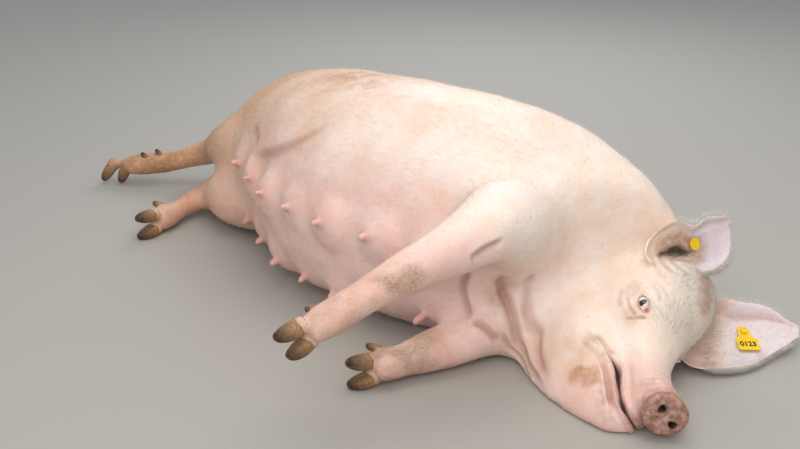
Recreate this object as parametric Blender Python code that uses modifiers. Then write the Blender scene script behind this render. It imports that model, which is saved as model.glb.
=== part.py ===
"""A large white sow lying on her left side, life size, as a still model in parts.

Metres, +Z up, floor at z = 0. She lies along X with her head at +X, her back towards +Y and her belly
and feet towards -Y, so that her right side is uppermost. The flesh is lofted from oval sections, merged
into one body by a voxel remesh, rested on the floor and then parted by thin cuts where a person would
name its parts. Ears, tail, claws and eyes are solids of their own, seated in it with a hair's gap.
"""

import math

import bmesh
import bpy
from mathutils import Matrix, Vector
from mathutils.bvhtree import BVHTree

# ---------------------------------------------------------------- driving dimensions, in metres
MERGE = 0.00005
GAP = 0.0004  # between neighbouring solids
VOXEL = 0.009  # grain of the merge
FLESH_TRIANGLES = 4300
SMOOTHING = 0.6  # share of the way to its neighbours' middle that a point moves in one pass
FINE_PASSES = 8  # over the whole body
BROAD_PASSES = 40  # over the trunk's broad forms
BROAD_LIMITS = ((0, 0.740, 1), (0, -0.560, -1), (1, -0.200, -1))  # axis, where it stops, side of it
BROAD_FADE = 0.080  # over which the broad smoothing grows from its limits
SIDES = 28  # points round a section of the body
EYE_RADIUS = 0.0135
EYE_ROOM = 0.018  # radius round the lower eye kept clear of the ear she lies on
EYE_SUNK = 0.008  # of its centre under the face
EAR_THICKNESS = 0.006

# Looks by the start of an object's name: colour, roughness, and whether it is shaded as a round thing.
LOOKS = {
    "tag": ((0.93, 0.72, 0.04), 0.45, False),
    "eye": ((0.05, 0.03, 0.02), 0.10, True),
    "claw": ((0.36, 0.24, 0.15), 0.60, True),
    "dewclaw": ((0.30, 0.20, 0.13), 0.60, True),
    "ear": ((0.86, 0.66, 0.62), 0.55, True),
    "tail": ((0.84, 0.66, 0.58), 0.55, True),
    "": ((0.86, 0.69, 0.60), 0.55, True),
}

# The head's own axes: x from the poll to the snout, y to her left, z up through the forehead.
# She rests it on the left jowl with her face turned a third of the way up.
HEAD_POLL = Vector((0.834, 0.286, 0.142))
HEAD_FORWARD = Vector((0.726, -0.687, -0.043))
HEAD_LEFT = Vector((0.345, 0.417, -0.841))

# Trunk sections from the rump forwards: x, y and z of the centre, then the reach to the back, to the
# belly, up and down.
TRUNK = (
    (-0.612, 0.190, 0.165, 0.040, 0.045, 0.045, 0.060),
    (-0.592, 0.185, 0.170, 0.080, 0.095, 0.078, 0.120),
    (-0.530, 0.165, 0.180, 0.120, 0.150, 0.114, 0.180),
    (-0.420, 0.140, 0.195, 0.166, 0.200, 0.177, 0.220),
    (-0.220, 0.095, 0.200, 0.238, 0.240, 0.242, 0.235),
    (0.020, 0.045, 0.205, 0.285, 0.290, 0.278, 0.240),
    (0.250, 0.035, 0.205, 0.303, 0.290, 0.298, 0.240),
    (0.450, 0.055, 0.200, 0.300, 0.250, 0.302, 0.235),
    (0.570, 0.080, 0.195, 0.273, 0.220, 0.288, 0.225),
)
# Neck sections turn from the trunk's way to the head's: the share of that turn comes after the place.
NECK = (
    (0.660, 0.100, 0.185, 0.30, 0.243, 0.235, 0.256, 0.200),
    (0.745, 0.115, 0.165, 0.65, 0.206, 0.262, 0.208, 0.180),
)
# The throat: place along the head and reach, for the end of the trunk's loft inside the head.
THROAT = ((0.040, 0.185), (0.120, 0.140))
THROAT_Z = -0.175
# Head sections: x, the highest z, the lowest z, the half widths right and left, and where it is widest.
SKULL = (
    (-0.120, -0.020, -0.150, 0.070, 0.070, -0.090),
    (-0.045, 0.014, -0.180, 0.110, 0.105, -0.090),
    (0.020, 0.045, -0.200, 0.130, 0.115, -0.100),
    (0.085, 0.053, -0.210, 0.130, 0.096, -0.100),
    (0.150, 0.020, -0.210, 0.114, 0.072, -0.095),
    (0.205, -0.034, -0.200, 0.084, 0.050, -0.110),
    (0.250, -0.074, -0.190, 0.065, 0.046, -0.125),
    (0.310, -0.090, -0.185, 0.055, 0.046, -0.130),
    (0.370, -0.090, -0.180, 0.050, 0.048, -0.128),
    (0.432, -0.080, -0.168, 0.046, 0.046, -0.118),
)
JAW = (
    (-0.090, -0.170, -0.340, 0.070, 0.070, -0.250),
    (-0.010, -0.120, -0.405, 0.122, 0.120, -0.250),
    (0.080, -0.120, -0.425, 0.145, 0.130, -0.250),
    (0.150, -0.120, -0.418, 0.142, 0.120, -0.250),
    (0.220, -0.140, -0.398, 0.122, 0.096, -0.250),
    (0.280, -0.150, -0.368, 0.098, 0.076, -0.245),
    (0.335, -0.165, -0.330, 0.074, 0.062, -0.235),
    (0.380, -0.175, -0.292, 0.054, 0.050, -0.225),
    (0.412, -0.182, -0.258, 0.038, 0.038, -0.214),
    (0.424, -0.188, -0.240, 0.024, 0.024, -0.212),
)
SNOUT_DISC = (
    # x, z, half height, half width
    (0.360, -0.130, 0.040, 0.044),
    (0.418, -0.120, 0.042, 0.046),
    (0.438, -0.118, 0.046, 0.052),
    (0.448, -0.118, 0.045, 0.051),
    (0.455, -0.118, 0.037, 0.043),
)
EYES = {"eye_right": (0.178, -0.098, -0.078), "eye_left": (0.178, 0.066, -0.078)}  # on the face
NOSTRILS = ((0.450, -0.021, -0.116), (0.450, 0.021, -0.116))
NOSTRIL_RADII = (0.024, 0.0075, 0.0095)
MOUTH = (0.384, 0.0, -0.182)  # middle of the slit between the lips
MOUTH_LENGTH, MOUTH_WIDTH, MOUTH_HEIGHT = 0.170, 0.260, 0.003

# Limbs: the joints' places, each with its half thickness up and down and its half thickness sideways.
FORELEG_RIGHT = (
    ((0.500, 0.150, 0.200), 0.120, 0.100),
    ((0.585, 0.030, 0.255), 0.125, 0.115),
    ((0.642, -0.085, 0.318), 0.104, 0.106),
    ((0.688, -0.190, 0.348), 0.071, 0.077),
    ((0.692, -0.290, 0.332), 0.055, 0.057),
    ((0.678, -0.390, 0.308), 0.046, 0.047),
    ((0.655, -0.480, 0.275), 0.035, 0.038),
    ((0.635, -0.550, 0.245), 0.037, 0.041),
    ((0.622, -0.595, 0.225), 0.030, 0.036),
)
FORELEG_LEFT = (
    ((0.600, 0.060, 0.110), 0.110, 0.110),
    ((0.600, -0.070, 0.070), 0.072, 0.080),
    ((0.588, -0.160, 0.052), 0.052, 0.056),
    ((0.572, -0.240, 0.046), 0.046, 0.048),
    ((0.560, -0.300, 0.042), 0.036, 0.038),
    ((0.550, -0.345, 0.042), 0.038, 0.042),
    ((0.544, -0.372, 0.038), 0.030, 0.036),
)
HINDLEG_RIGHT = (
    ((-0.390, 0.130, 0.200), 0.140, 0.150),
    ((-0.335, 0.015, 0.225), 0.128, 0.120),
    ((-0.430, -0.010, 0.208), 0.088, 0.090),
    ((-0.550, 0.015, 0.165), 0.058, 0.062),
    ((-0.660, 0.050, 0.122), 0.042, 0.048),
    ((-0.725, 0.028, 0.095), 0.034, 0.040),
    ((-0.790, -0.035, 0.068), 0.030, 0.034),
    ((-0.845, -0.085, 0.062), 0.033, 0.042),
    ((-0.884, -0.124, 0.052), 0.026, 0.038),
)
HINDLEG_LEFT = (
    ((-0.360, 0.090, 0.120), 0.130, 0.160),
    ((-0.310, -0.050, 0.110), 0.105, 0.120),
    ((-0.385, -0.065, 0.090), 0.086, 0.095),
    ((-0.455, -0.060, 0.070), 0.062, 0.068),
    ((-0.525, -0.055, 0.052), 0.044, 0.048),
    ((-0.528, -0.118, 0.041), 0.034, 0.037),
    ((-0.508, -0.185, 0.036), 0.030, 0.034),
    ((-0.488, -0.240, 0.037), 0.036, 0.038),
    ((-0.478, -0.268, 0.036), 0.033, 0.030),
)
TAIL_SIDES = 10
TAIL = (
    ((-0.560, 0.270, 0.200), 0.020, 0.020),
    ((-0.610, 0.290, 0.190), 0.017, 0.017),
    ((-0.660, 0.285, 0.150), 0.013, 0.013),
    ((-0.690, 0.262, 0.100), 0.010, 0.010),
    ((-0.700, 0.232, 0.060), 0.008, 0.008),
    ((-0.705, 0.205, 0.030), 0.006, 0.006),
)

# Udder: seven glands a side, set in the belly at a turn from straight ahead of it towards her upper side.
UDDER_ROWS = (0.16, -0.46)  # radians
UDDER_FROM, UDDER_TO = -0.230, 0.490
GLANDS = 7
GLAND_RADIUS = 0.085
GLAND_DEPTH = 0.058  # of its centre under the belly's line
TEAT_LENGTH = 0.022
TEAT_RADIUS = 0.0085
TEAT_ROOT = 0.010  # of the teat inside the gland

# Claws: share of the length, then the drop towards the sole, the half height and the half width as shares.
CLAW_SHAPE = (
    (-0.250, 0.00, 0.42, 0.42),
    (0.150, 0.00, 0.50, 0.50),
    (0.650, 0.05, 0.43, 0.48),
    (1.000, 0.22, 0.22, 0.27),
)
CLAW_SIZE = (0.054, 0.040, 0.036)  # length, height, width
DEWCLAW_SIZE = (0.026, 0.019, 0.018)
CLAW_SPREAD = 0.019  # of each claw from the middle of the foot
CLAW_SPLAY = 0.14
# Feet: where the claws begin, the way they point and the way from one to the other; then the same for the
# dewclaws behind.
FEET = {
    "fore_right": {
        "claws": ((0.620, -0.598, 0.224), (-0.150, -0.860, -0.480), (-0.100, -0.470, 0.870)),
        "dewclaws": ((0.600, -0.545, 0.232), (-0.700, -0.600, -0.250), (-0.100, -0.250, 0.950)),
    },
    "fore_left": {
        "claws": ((0.543, -0.372, 0.038), (-0.180, -0.980, -0.060), (0.000, -0.060, 0.998)),
        "dewclaws": ((0.512, -0.330, 0.042), (-0.750, -0.600, 0.000), (0.000, 0.000, 1.000)),
    },
    "hind_right": {
        "claws": ((-0.893, -0.133, 0.056), (-0.250, -0.380, -0.880), (0.660, 0.750, 0.000)),
        "dewclaws": ((-0.812, -0.062, 0.084), (-0.250, -0.500, 0.620), (0.500, 0.850, 0.100)),
    },
    "hind_left": {
        "claws": ((-0.475, -0.274, 0.038), (0.280, -0.960, -0.060), (0.000, -0.060, 0.998)),
        "dewclaws": ((-0.517, -0.226, 0.042), (-0.850, -0.480, 0.000), (0.000, 0.000, 1.000)),
    },
}

# Thin cuts that part the flesh: centre, the way across the cut, and the radius of the plate that makes it.
HEAD_CUT = ((0.760, 0.110, 0.190), (0.967, -0.160, -0.200), 0.310)
NECK_CUT = ((0.674, 0.130, 0.200), (0.934, 0.299, -0.194), 0.330)  # ends where it meets the head's
LEG_CUTS = (
    ((0.690, -0.235, 0.345), (0.000, -1.000, -0.100), 0.120),
    ((0.595, -0.170, 0.055), (0.000, -1.000, 0.000), 0.110),
    ((-0.655, 0.052, 0.135), (-0.853, 0.369, -0.369), 0.075),
    ((-0.525, -0.128, 0.040), (0.200, -0.980, 0.000), 0.050),
)
# A point near the middle of each piece the cuts leave.
PIECES = {
    "trunk": (0.000, 0.050, 0.200),
    "neck": (0.720, 0.200, 0.200),
    "head": (0.900, 0.080, 0.120),
    "foreleg_right": (0.660, -0.400, 0.300),
    "foreleg_left": (0.565, -0.280, 0.045),
    "hindleg_right": (-0.780, -0.030, 0.080),
    "hindleg_left": (-0.500, -0.200, 0.040),
}

# Ears: root, the way along and the way across the sheet, then ribs from the root to the tip, each with
# the place along and across of its lower and its upper edge, and how deep the sheet is cupped.
EAR_RIGHT = {
    "root": (0.862, 0.188, 0.244),
    "along": (0.060, 0.990, 0.040),
    "across": (-0.330, 0.000, 0.940),
    "ribs": (
        (-0.070, -0.010, -0.090, 0.030, 0.028),
        (-0.010, -0.034, -0.030, 0.058, 0.030),
        (0.038, -0.050, 0.030, 0.068, 0.024),
        (0.082, -0.062, 0.080, 0.043, 0.016),
        (0.122, -0.066, 0.120, 0.050, 0.011),
        (0.156, -0.058, 0.164, 0.042, 0.007),
        (0.180, -0.028, 0.192, 0.034, 0.003),
        (0.194, 0.002, 0.201, 0.024, 0.001),
    ),
}
EAR_LEFT = {
    "root": (0.925, 0.265, 0.050),
    "along": (0.430, 0.900, -0.100),
    "across": (-0.820, 0.400, 0.410),
    "ribs": (
        (-0.115, -0.045, -0.010, 0.070, 0.010),
        (-0.085, -0.076, 0.030, 0.085, 0.016),
        (-0.040, -0.094, 0.068, 0.100, 0.018),
        (0.020, -0.096, 0.105, 0.090, 0.018),
        (0.075, -0.083, 0.140, 0.082, 0.015),
        (0.125, -0.058, 0.170, 0.068, 0.010),
        (0.180, -0.030, 0.202, 0.044, 0.005),
        (0.218, -0.010, 0.234, 0.020, 0.001),
    ),
}
EAR_POINTS_ACROSS = 6

# Tags: where on the ear's sheet the pin goes through, along and across, the radius of its head in
# front, and over which two places of the sheet the foot of the flag lies.
PIN_RADIUS = 0.003
PIN_HOLE_LENGTH = 0.060
STUD_THICKNESS = 0.003
STUD_BACK_RADIUS = 0.011
STUD_OFF = 0.001  # of the pin's head from the flag
SHEET_OFF = 0.0045  # of a head of the pin from the curved sheet of the ear
TAG_LEFT = {"pin": (0.093, 0.018), "head": 0.008, "feet": ((0.058, -0.042), (0.112, -0.019))}
TAG_RIGHT = {"pin": (0.082, 0.000), "head": 0.014}
# Flag: the outline of one side, each the place along it from the pin and the half width there.
FLAG_OUTLINE = (
    (-0.013, 0.008),
    (-0.010, 0.011),
    (0.014, 0.015),
    (0.024, 0.024),
    (0.052, 0.025),
    (0.056, 0.021),
)
FLAG_THICKNESS = 0.0016
FLAG_LIFT = 0.0035  # off the front of the ear


def unit(vector):
    return Vector(vector).normalized()


HEAD_UP = unit(HEAD_FORWARD).cross(unit(HEAD_LEFT)).normalized()
HEAD_SIDE = HEAD_UP.cross(unit(HEAD_FORWARD))
HEAD_AXES = Matrix((unit(HEAD_FORWARD), HEAD_SIDE, HEAD_UP)).transposed()
HEAD_PLACE = Matrix.Translation(HEAD_POLL) @ HEAD_AXES.to_4x4()


def head_point(x, y, z):
    """A point of the head's own axes in the body's frame."""
    return HEAD_PLACE @ Vector((x, y, z))


def head_way(x, y, z):
    return HEAD_AXES @ Vector((x, y, z))


# ---------------------------------------------------------------- scene
def clear_scene():
    for obj in list(bpy.data.objects):
        bpy.data.objects.remove(obj, do_unlink=True)


def new_collection(name):
    made = bpy.data.collections.new(name)
    bpy.context.scene.collection.children.link(made)
    return made


def new_material(name, colour, roughness):
    material = bpy.data.materials.new(name)
    material.use_nodes = True
    shader = material.node_tree.nodes["Principled BSDF"]
    shader.inputs["Base Color"].default_value = (*colour, 1.0)
    shader.inputs["Roughness"].default_value = roughness
    shader.inputs["Metallic"].default_value = 0.0
    return material


def new_object(name, bm, group):
    bmesh.ops.recalc_face_normals(bm, faces=bm.faces)
    mesh = bpy.data.meshes.new(name)
    bm.to_mesh(mesh)
    bm.free()
    obj = bpy.data.objects.new(name, mesh)
    group.objects.link(obj)
    return obj


def hide_cutter(obj):
    obj.hide_render = True
    obj.display_type = "WIRE"


def applied(obj, name=None):
    """The object with its modifiers made part of its mesh."""
    graph = bpy.context.evaluated_depsgraph_get()
    mesh = bpy.data.meshes.new_from_object(obj.evaluated_get(graph))
    obj.modifiers.clear()
    obj.data = mesh
    if name:
        obj.name = name
    return obj


def cut_off(obj, place, way):
    """Cuts away what lies past a plane and closes the cut."""
    bm = bmesh.new()
    bm.from_mesh(obj.data)
    everything = bm.verts[:] + bm.edges[:] + bm.faces[:]
    bmesh.ops.bisect_plane(bm, geom=everything, plane_co=place, plane_no=way, clear_outer=True)
    bmesh.ops.holes_fill(bm, edges=[edge for edge in bm.edges if edge.is_boundary], sides=0)
    bm.to_mesh(obj.data)
    bm.free()


def rest_on_floor(obj):
    cut_off(obj, (0.0, 0.0, 0.0), (0.0, 0.0, -1.0))


# ---------------------------------------------------------------- lofts
def oval(centre, up, side, reach_up, reach_down, reach_side, reach_far, power=2.0):
    """A named oval: a centre, two directions and the reach each way along them."""
    return {
        "centre": Vector(centre),
        "up": Vector(up).normalized(),
        "side": Vector(side).normalized(),
        "reach": (reach_up, reach_down, reach_side, reach_far),
        "power": power,
    }


def oval_points(section, sides):
    """Points round a superellipse whose four quarters may reach different lengths."""
    reach_up, reach_down, reach_side, reach_far = section["reach"]
    share = 2.0 / section["power"]
    points = []
    for step in range(sides):
        turn = 2 * math.pi * step / sides
        c, s = math.cos(turn), math.sin(turn)
        along_up = math.copysign(abs(c) ** share, c) * (reach_up if c > 0 else reach_down)
        along_side = math.copysign(abs(s) ** share, s) * (reach_side if s > 0 else reach_far)
        points.append(section["centre"] + section["up"] * along_up + section["side"] * along_side)
    return points


def between(a, b, c, d, t):
    """A smooth value between b and c, led by a and d."""
    return 0.5 * (2 * b + (c - a) * t + (2 * a - 5 * b + 4 * c - d) * t * t + (3 * b - a - 3 * c + d) * t**3)


def refined(sections, steps):
    """The sections with smooth ones put between them."""
    made = []
    for i in range(len(sections) - 1):
        four = [sections[min(max(i + k, 0), len(sections) - 1)] for k in (-1, 0, 1, 2)]
        for step in range(steps):
            t = step / steps
            reach = [max(0.002, between(*(o["reach"][k] for o in four), t)) for k in range(4)]
            place = [between(*(o[key] for o in four), t) for key in ("centre", "up", "side")]
            made.append(oval(*place, *reach, power=between(*(o["power"] for o in four), t)))
    return made + [sections[-1]]


def loft(name, sections, group, sides=SIDES, steps=3):
    """A closed skin through sections that face different ways."""
    bm = bmesh.new()
    rings = []
    for section in refined(sections, steps):
        rings.append([bm.verts.new(point) for point in oval_points(section, sides)])
    for near, far in zip(rings, rings[1:]):
        for i in range(sides):
            j = (i + 1) % sides
            bm.faces.new((near[i], near[j], far[j], far[i]))
    bm.faces.new(rings[0])
    bm.faces.new(rings[-1])
    return new_object(name, bm, group)


def limb(name, joints, group, sides=16, steps=4):
    """A limb through joints, each a place, a half thickness up and down and one sideways."""
    places = [Vector(joint[0]) for joint in joints]
    sections = []
    for i, (place, tall, wide) in enumerate(joints):
        along = (places[min(i + 1, len(places) - 1)] - places[max(i - 1, 0)]).normalized()
        up = Vector((0, 0, 1)) - along * along.z
        sections.append(oval(place, up, along.cross(up), tall, tall, wide, wide))
    return loft(name, sections, group, sides, steps)


def ball(name, centre, radii, axes, group, segments=20, rings=12):
    """An ellipsoid with its radii along the axes of a matrix."""
    bm = bmesh.new()
    bmesh.ops.create_uvsphere(bm, u_segments=segments, v_segments=rings, radius=1.0)
    place = Matrix.Translation(centre) @ axes.to_4x4() @ Matrix.Diagonal((*radii, 1.0))
    bmesh.ops.transform(bm, matrix=place, verts=bm.verts)
    return new_object(name, bm, group)


# ---------------------------------------------------------------- flesh
def trunk_core(group):
    """Rump to neck as one loft that ends inside the head."""
    sections = [
        oval((x, y, z), (0, 1, 0), (0, 0, 1), back, belly, up, down, 2.25)
        for x, y, z, back, belly, up, down in TRUNK
    ]
    for x, y, z, turned, back, belly, up, down in NECK:
        spine_side = Vector((0, 1, 0)).lerp(head_way(0, 0, 1), turned)
        upper_side = Vector((0, 0, 1)).lerp(head_way(0, -1, 0), turned)
        sections.append(oval((x, y, z), spine_side, upper_side, back, belly, up, down, 2.2))
    for x, reach in THROAT:
        narrow = 0.8 * reach
        up, right = head_way(0, 0, 1), head_way(0, -1, 0)
        sections.append(oval(head_point(x, 0, THROAT_Z), up, right, reach, reach, narrow, narrow))
    return loft("trunk_core", sections, group)


def head_core(name, rows, group):
    """A loft along the head."""
    sections = []
    up, across = head_way(0, 0, 1), head_way(0, -1, 0)
    for x, top, bottom, right, left, widest in rows:
        centre = head_point(x, 0, widest)
        sections.append(oval(centre, up, across, top - widest, widest - bottom, right, left, 2.2))
    return loft(name, sections, group, 24, 3)


def disc_core(group):
    """The flat, gristly end of the snout, a little proud of the muzzle all round."""
    sections = []
    up, across = head_way(0, 0, 1), head_way(0, -1, 0)
    for x, z, tall, wide in SNOUT_DISC:
        sections.append(oval(head_point(x, 0, z), up, across, tall, tall, wide, wide, 2.2))
    return loft("disc_core", sections, group, 24, 2)


def trunk_at(x):
    """The trunk's centre, and its reach to the belly, up and down, at a place along it."""
    for near, far in zip(TRUNK, TRUNK[1:]):
        if near[0] <= x <= far[0]:
            share = (x - near[0]) / (far[0] - near[0])
            return [a + (b - a) * share for a, b in zip(near, far)]
    raise ValueError("no trunk there")


def udder_place(x, turn, depth):
    """A place on the belly, and the way straight out of it."""
    _, y, z, _, belly, up, down = trunk_at(x)
    out = Vector((0.0, -math.cos(turn), math.sin(turn)))
    tall = up if turn > 0 else down
    reach = 1.0 / math.sqrt((out.y / belly) ** 2 + (out.z / tall) ** 2)
    return Vector((x, y, z)) + out * (reach - depth), out


def udder():
    """Every gland's place and the way its teat points."""
    for turn in UDDER_ROWS:
        for i in range(GLANDS):
            x = UDDER_FROM + (UDDER_TO - UDDER_FROM) * i / (GLANDS - 1)
            yield udder_place(x, turn, GLAND_DEPTH)


def udder_cores(group):
    for i, (centre, _) in enumerate(udder()):
        ball(f"gland_{i}", centre, (GLAND_RADIUS,) * 3, Matrix.Identity(3), group)


def merged(name, group):
    """All the flesh as one closed body, smoothed."""
    first, *others = list(group.objects)
    bm = bmesh.new()
    for obj in (first, *others):
        bm.from_mesh(obj.data)
    for obj in others:
        bpy.data.objects.remove(obj, do_unlink=True)
    bm.to_mesh(first.data)
    bm.free()
    remesh = first.modifiers.new("merge", "REMESH")
    remesh.mode = "VOXEL"
    remesh.voxel_size = VOXEL
    smooth = first.modifiers.new("soften", "SMOOTH")
    smooth.factor = SMOOTHING
    smooth.iterations = FINE_PASSES
    body = applied(first, name)
    broad = body.vertex_groups.new(name="broad")
    for vert in body.data.vertices:
        weight = broadness(vert.co)
        if weight > 0:
            broad.add([vert.index], weight, "REPLACE")
    blend = body.modifiers.new("blend", "SMOOTH")
    blend.factor = SMOOTHING
    blend.iterations = BROAD_PASSES
    blend.vertex_group = broad.name
    return applied(body)


def broadness(place):
    """How much a place is of the trunk's broad forms, which run softly into one another."""
    nearest = min(max((lies - place[axis]) * way / BROAD_FADE, 0.0) for axis, lies, way in BROAD_LIMITS)
    return min(nearest, 1.0)


def boolean(obj, cutters, operation="DIFFERENCE"):
    """Joins or takes away one object, or every object of a collection."""
    cut = obj.modifiers.new("cut", "BOOLEAN")
    cut.operation = operation
    cut.solver = "EXACT"
    if isinstance(cutters, bpy.types.Collection):
        cut.operand_type = "COLLECTION"
        cut.collection = cutters
    else:
        cut.object = cutters
    return applied(obj)


def thinned(body, triangles):
    """The body with the grain of the remesh taken out of it where it is smooth."""
    body.data.calc_loop_triangles()
    collapse = body.modifiers.new("thin", "DECIMATE")
    collapse.ratio = triangles / len(body.data.loop_triangles)
    return applied(body)


def turned(centre, axis, across=(0.0, 0.0, 1.0)):
    """A placement whose z runs along an axis, with its y as near as it can be to a second direction."""
    z = unit(axis)
    x = Vector(across).cross(z)
    if x.length < 0.001:
        x = Vector((1.0, 0.0, 0.0)).cross(z)
    x.normalize()
    return Matrix.Translation(centre) @ Matrix((x, z.cross(x), z)).transposed().to_4x4()


def rod(name, centre, axis, radius, length, group, segments=16):
    bm = bmesh.new()
    bmesh.ops.create_cone(
        bm, cap_ends=True, segments=segments, radius1=radius, radius2=radius, depth=length,
        matrix=turned(centre, axis),
    )
    return new_object(name, bm, group)


def teats(group):
    """A blunt cone on every gland."""
    for i, (centre, out) in enumerate(udder()):
        place = centre + out * (GLAND_RADIUS + (TEAT_LENGTH - TEAT_ROOT) / 2)
        bm = bmesh.new()
        bmesh.ops.create_cone(
            bm, cap_ends=True, segments=7, radius1=TEAT_RADIUS, radius2=0.7 * TEAT_RADIUS,
            depth=TEAT_LENGTH + TEAT_ROOT, matrix=turned(place, out),
        )
        new_object(f"teat_{i}", bm, group)


def face_openings(group):
    """What is taken out of the head: eye sockets, nostrils and the slit of the mouth."""
    for name, place in EYES.items():
        ball(f"socket_{name}", head_point(*sunk_eye(place)), (EYE_RADIUS + GAP,) * 3, HEAD_AXES, group, 16, 8)
    for i, place in enumerate(NOSTRILS):
        ball(f"nostril_{i}", head_point(*place), NOSTRIL_RADII, HEAD_AXES, group, 12, 6)
    bm = bmesh.new()
    bmesh.ops.create_cube(bm, size=1.0)
    size = Matrix.Diagonal((MOUTH_LENGTH, MOUTH_WIDTH, MOUTH_HEIGHT, 1.0))
    bmesh.ops.transform(bm, matrix=HEAD_PLACE @ Matrix.Translation(MOUTH) @ size, verts=bm.verts)
    new_object("mouth_slit", bm, group)


def sunk_eye(place):
    """The middle of an eyeball under a place on the face."""
    x, y, z = place
    return x, y - math.copysign(EYE_SUNK, y), z


def plates(group):
    """The thin discs that part the flesh. The neck's ends inside the thickness of the head's."""
    for i, (centre, axis, radius) in enumerate((*LEG_CUTS, HEAD_CUT)):
        rod(f"plate_{i}", Vector(centre), axis, radius, GAP, group, 24)
    neck = rod("plate_neck", Vector(NECK_CUT[0]), NECK_CUT[1], NECK_CUT[2], GAP, group, 24)
    cut_off(neck, HEAD_CUT[0], HEAD_CUT[1])


def parted(body, group):
    """Every loose piece of the body as an object of its own, named by what lies nearest."""
    whole = bmesh.new()
    whole.from_mesh(body.data)
    whole.verts.ensure_lookup_table()
    left = set(range(len(whole.verts)))
    made = {}
    while left:
        reached = {left.pop()}
        edge = set(reached)
        while edge:
            edge = {e.other_vert(whole.verts[i]).index for i in edge for e in whole.verts[i].link_edges} - reached
            reached |= edge
        left -= reached
        middle = sum((whole.verts[i].co for i in reached), Vector()) / len(reached)
        name = min(PIECES, key=lambda piece: (Vector(PIECES[piece]) - middle).length)
        piece = whole.copy()
        piece.verts.ensure_lookup_table()
        others = [vert for i, vert in enumerate(piece.verts) if i not in reached]
        bmesh.ops.delete(piece, geom=others, context="VERTS")
        made[name] = new_object(name, piece, group)
    whole.free()
    bpy.data.objects.remove(body, do_unlink=True)
    return made


def clearance(body, group):
    """The body grown by the gap, to seat other solids against it."""
    grown = body.copy()
    grown.data = body.data.copy()
    grown.name = "clearance"
    group.objects.link(grown)
    swell = grown.modifiers.new("swell", "DISPLACE")
    swell.strength = GAP
    swell.mid_level = 0.0
    hide_cutter(grown)
    return applied(grown)


# ---------------------------------------------------------------- what is seated in the flesh
def ear_axes(shape):
    along, across = unit(shape["along"]), unit(shape["across"])
    return along, across, along.cross(across).normalized()


def ear(name, shape, group):
    """A cupped sheet between ribs, thickened."""
    root, ribs = Vector(shape["root"]), shape["ribs"]
    along, across, out = ear_axes(shape)
    rows = []
    for i in range(len(ribs) - 1):
        four = [ribs[min(max(i + k, 0), len(ribs) - 1)] for k in (-1, 0, 1, 2)]
        for t in (0.0, 0.5):
            rows.append([between(*(rib[k] for rib in four), t) for k in range(5)])
    rows.append(ribs[-1])
    bm = bmesh.new()
    lines = []
    for low_along, low_across, high_along, high_across, cup in rows:
        line = []
        for j in range(EAR_POINTS_ACROSS):
            t = j / (EAR_POINTS_ACROSS - 1)
            place = root + along * (low_along + (high_along - low_along) * t)
            place += across * (low_across + (high_across - low_across) * t)
            line.append(bm.verts.new(place + out * cup * ((2 * t - 1) ** 2 - 1)))
        lines.append(line)
    for near, far in zip(lines, lines[1:]):
        for j in range(EAR_POINTS_ACROSS - 1):
            bm.faces.new((near[j], near[j + 1], far[j + 1], far[j]))
    obj = new_object(name, bm, group)
    thick = obj.modifiers.new("thick", "SOLIDIFY")
    thick.thickness = EAR_THICKNESS
    thick.offset = 0.0
    return applied(obj)


def on_ear(obj, shape, place):
    """The point of an ear's front over a place on its sheet."""
    along, across, out = ear_axes(shape)
    start = Vector(shape["root"]) + along * place[0] + across * place[1] + out * 0.1
    tree = BVHTree.FromPolygons(
        [vert.co for vert in obj.data.vertices], [list(face.vertices) for face in obj.data.polygons]
    )
    found = tree.ray_cast(start, -out)[0]
    if found is None:
        raise ValueError(f"{obj.name} has no sheet at {place}")
    return found


def claw(name, place, toes, across, size, group, sides):
    """A hoof claw that narrows to a blunt point over a flat sole."""
    length, height, width = size
    toes = unit(toes)
    sole = toes.cross(Vector(across)).normalized()
    side = sole.cross(toes)
    sections = []
    for share, drop, tall, wide in CLAW_SHAPE:
        centre = Vector(place) + toes * share * length + sole * drop * height
        sections.append(oval(centre, -sole, side, tall * height, tall * height, wide * width, wide * width, 2.4))
    return loft(name, sections, group, sides, 1)


def claws(group):
    made = []
    for foot, parts in FEET.items():
        for kind, size, sides in (("claws", CLAW_SIZE, 10), ("dewclaws", DEWCLAW_SIZE, 8)):
            place, toes, across = (Vector(value) for value in parts[kind])
            across.normalize()
            for word, way in (("inner", -1), ("outer", 1)):
                start = place + across * way * CLAW_SPREAD
                splayed = unit(toes) + across * way * CLAW_SPLAY
                made.append(claw(f"{kind[:-1]}_{foot}_{word}", start, splayed, across, size, group, sides))
    return made


def pin_hole(obj, place, out, group):
    hole = rod("hole_" + obj.name, place, out, PIN_RADIUS + GAP, PIN_HOLE_LENGTH, group, 12)
    boolean(obj, hole)


def stud(name, place, out, reach, radius, group):
    """A pin with a head at its front and a broader one behind, reaching so far each way from a place."""
    ahead, behind = reach
    pin = rod(name, place + out * (ahead - behind) / 2, out, PIN_RADIUS, ahead + behind, group, 10)
    heads = new_collection(name + "_heads")
    rod(name + "_front", place + out * ahead, out, radius, STUD_THICKNESS, heads, 14)
    rod(name + "_back", place - out * behind, out, STUD_BACK_RADIUS, STUD_THICKNESS, heads, 14)
    boolean(pin, heads, "UNION")
    for obj in heads.objects:
        hide_cutter(obj)
    return pin


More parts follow.
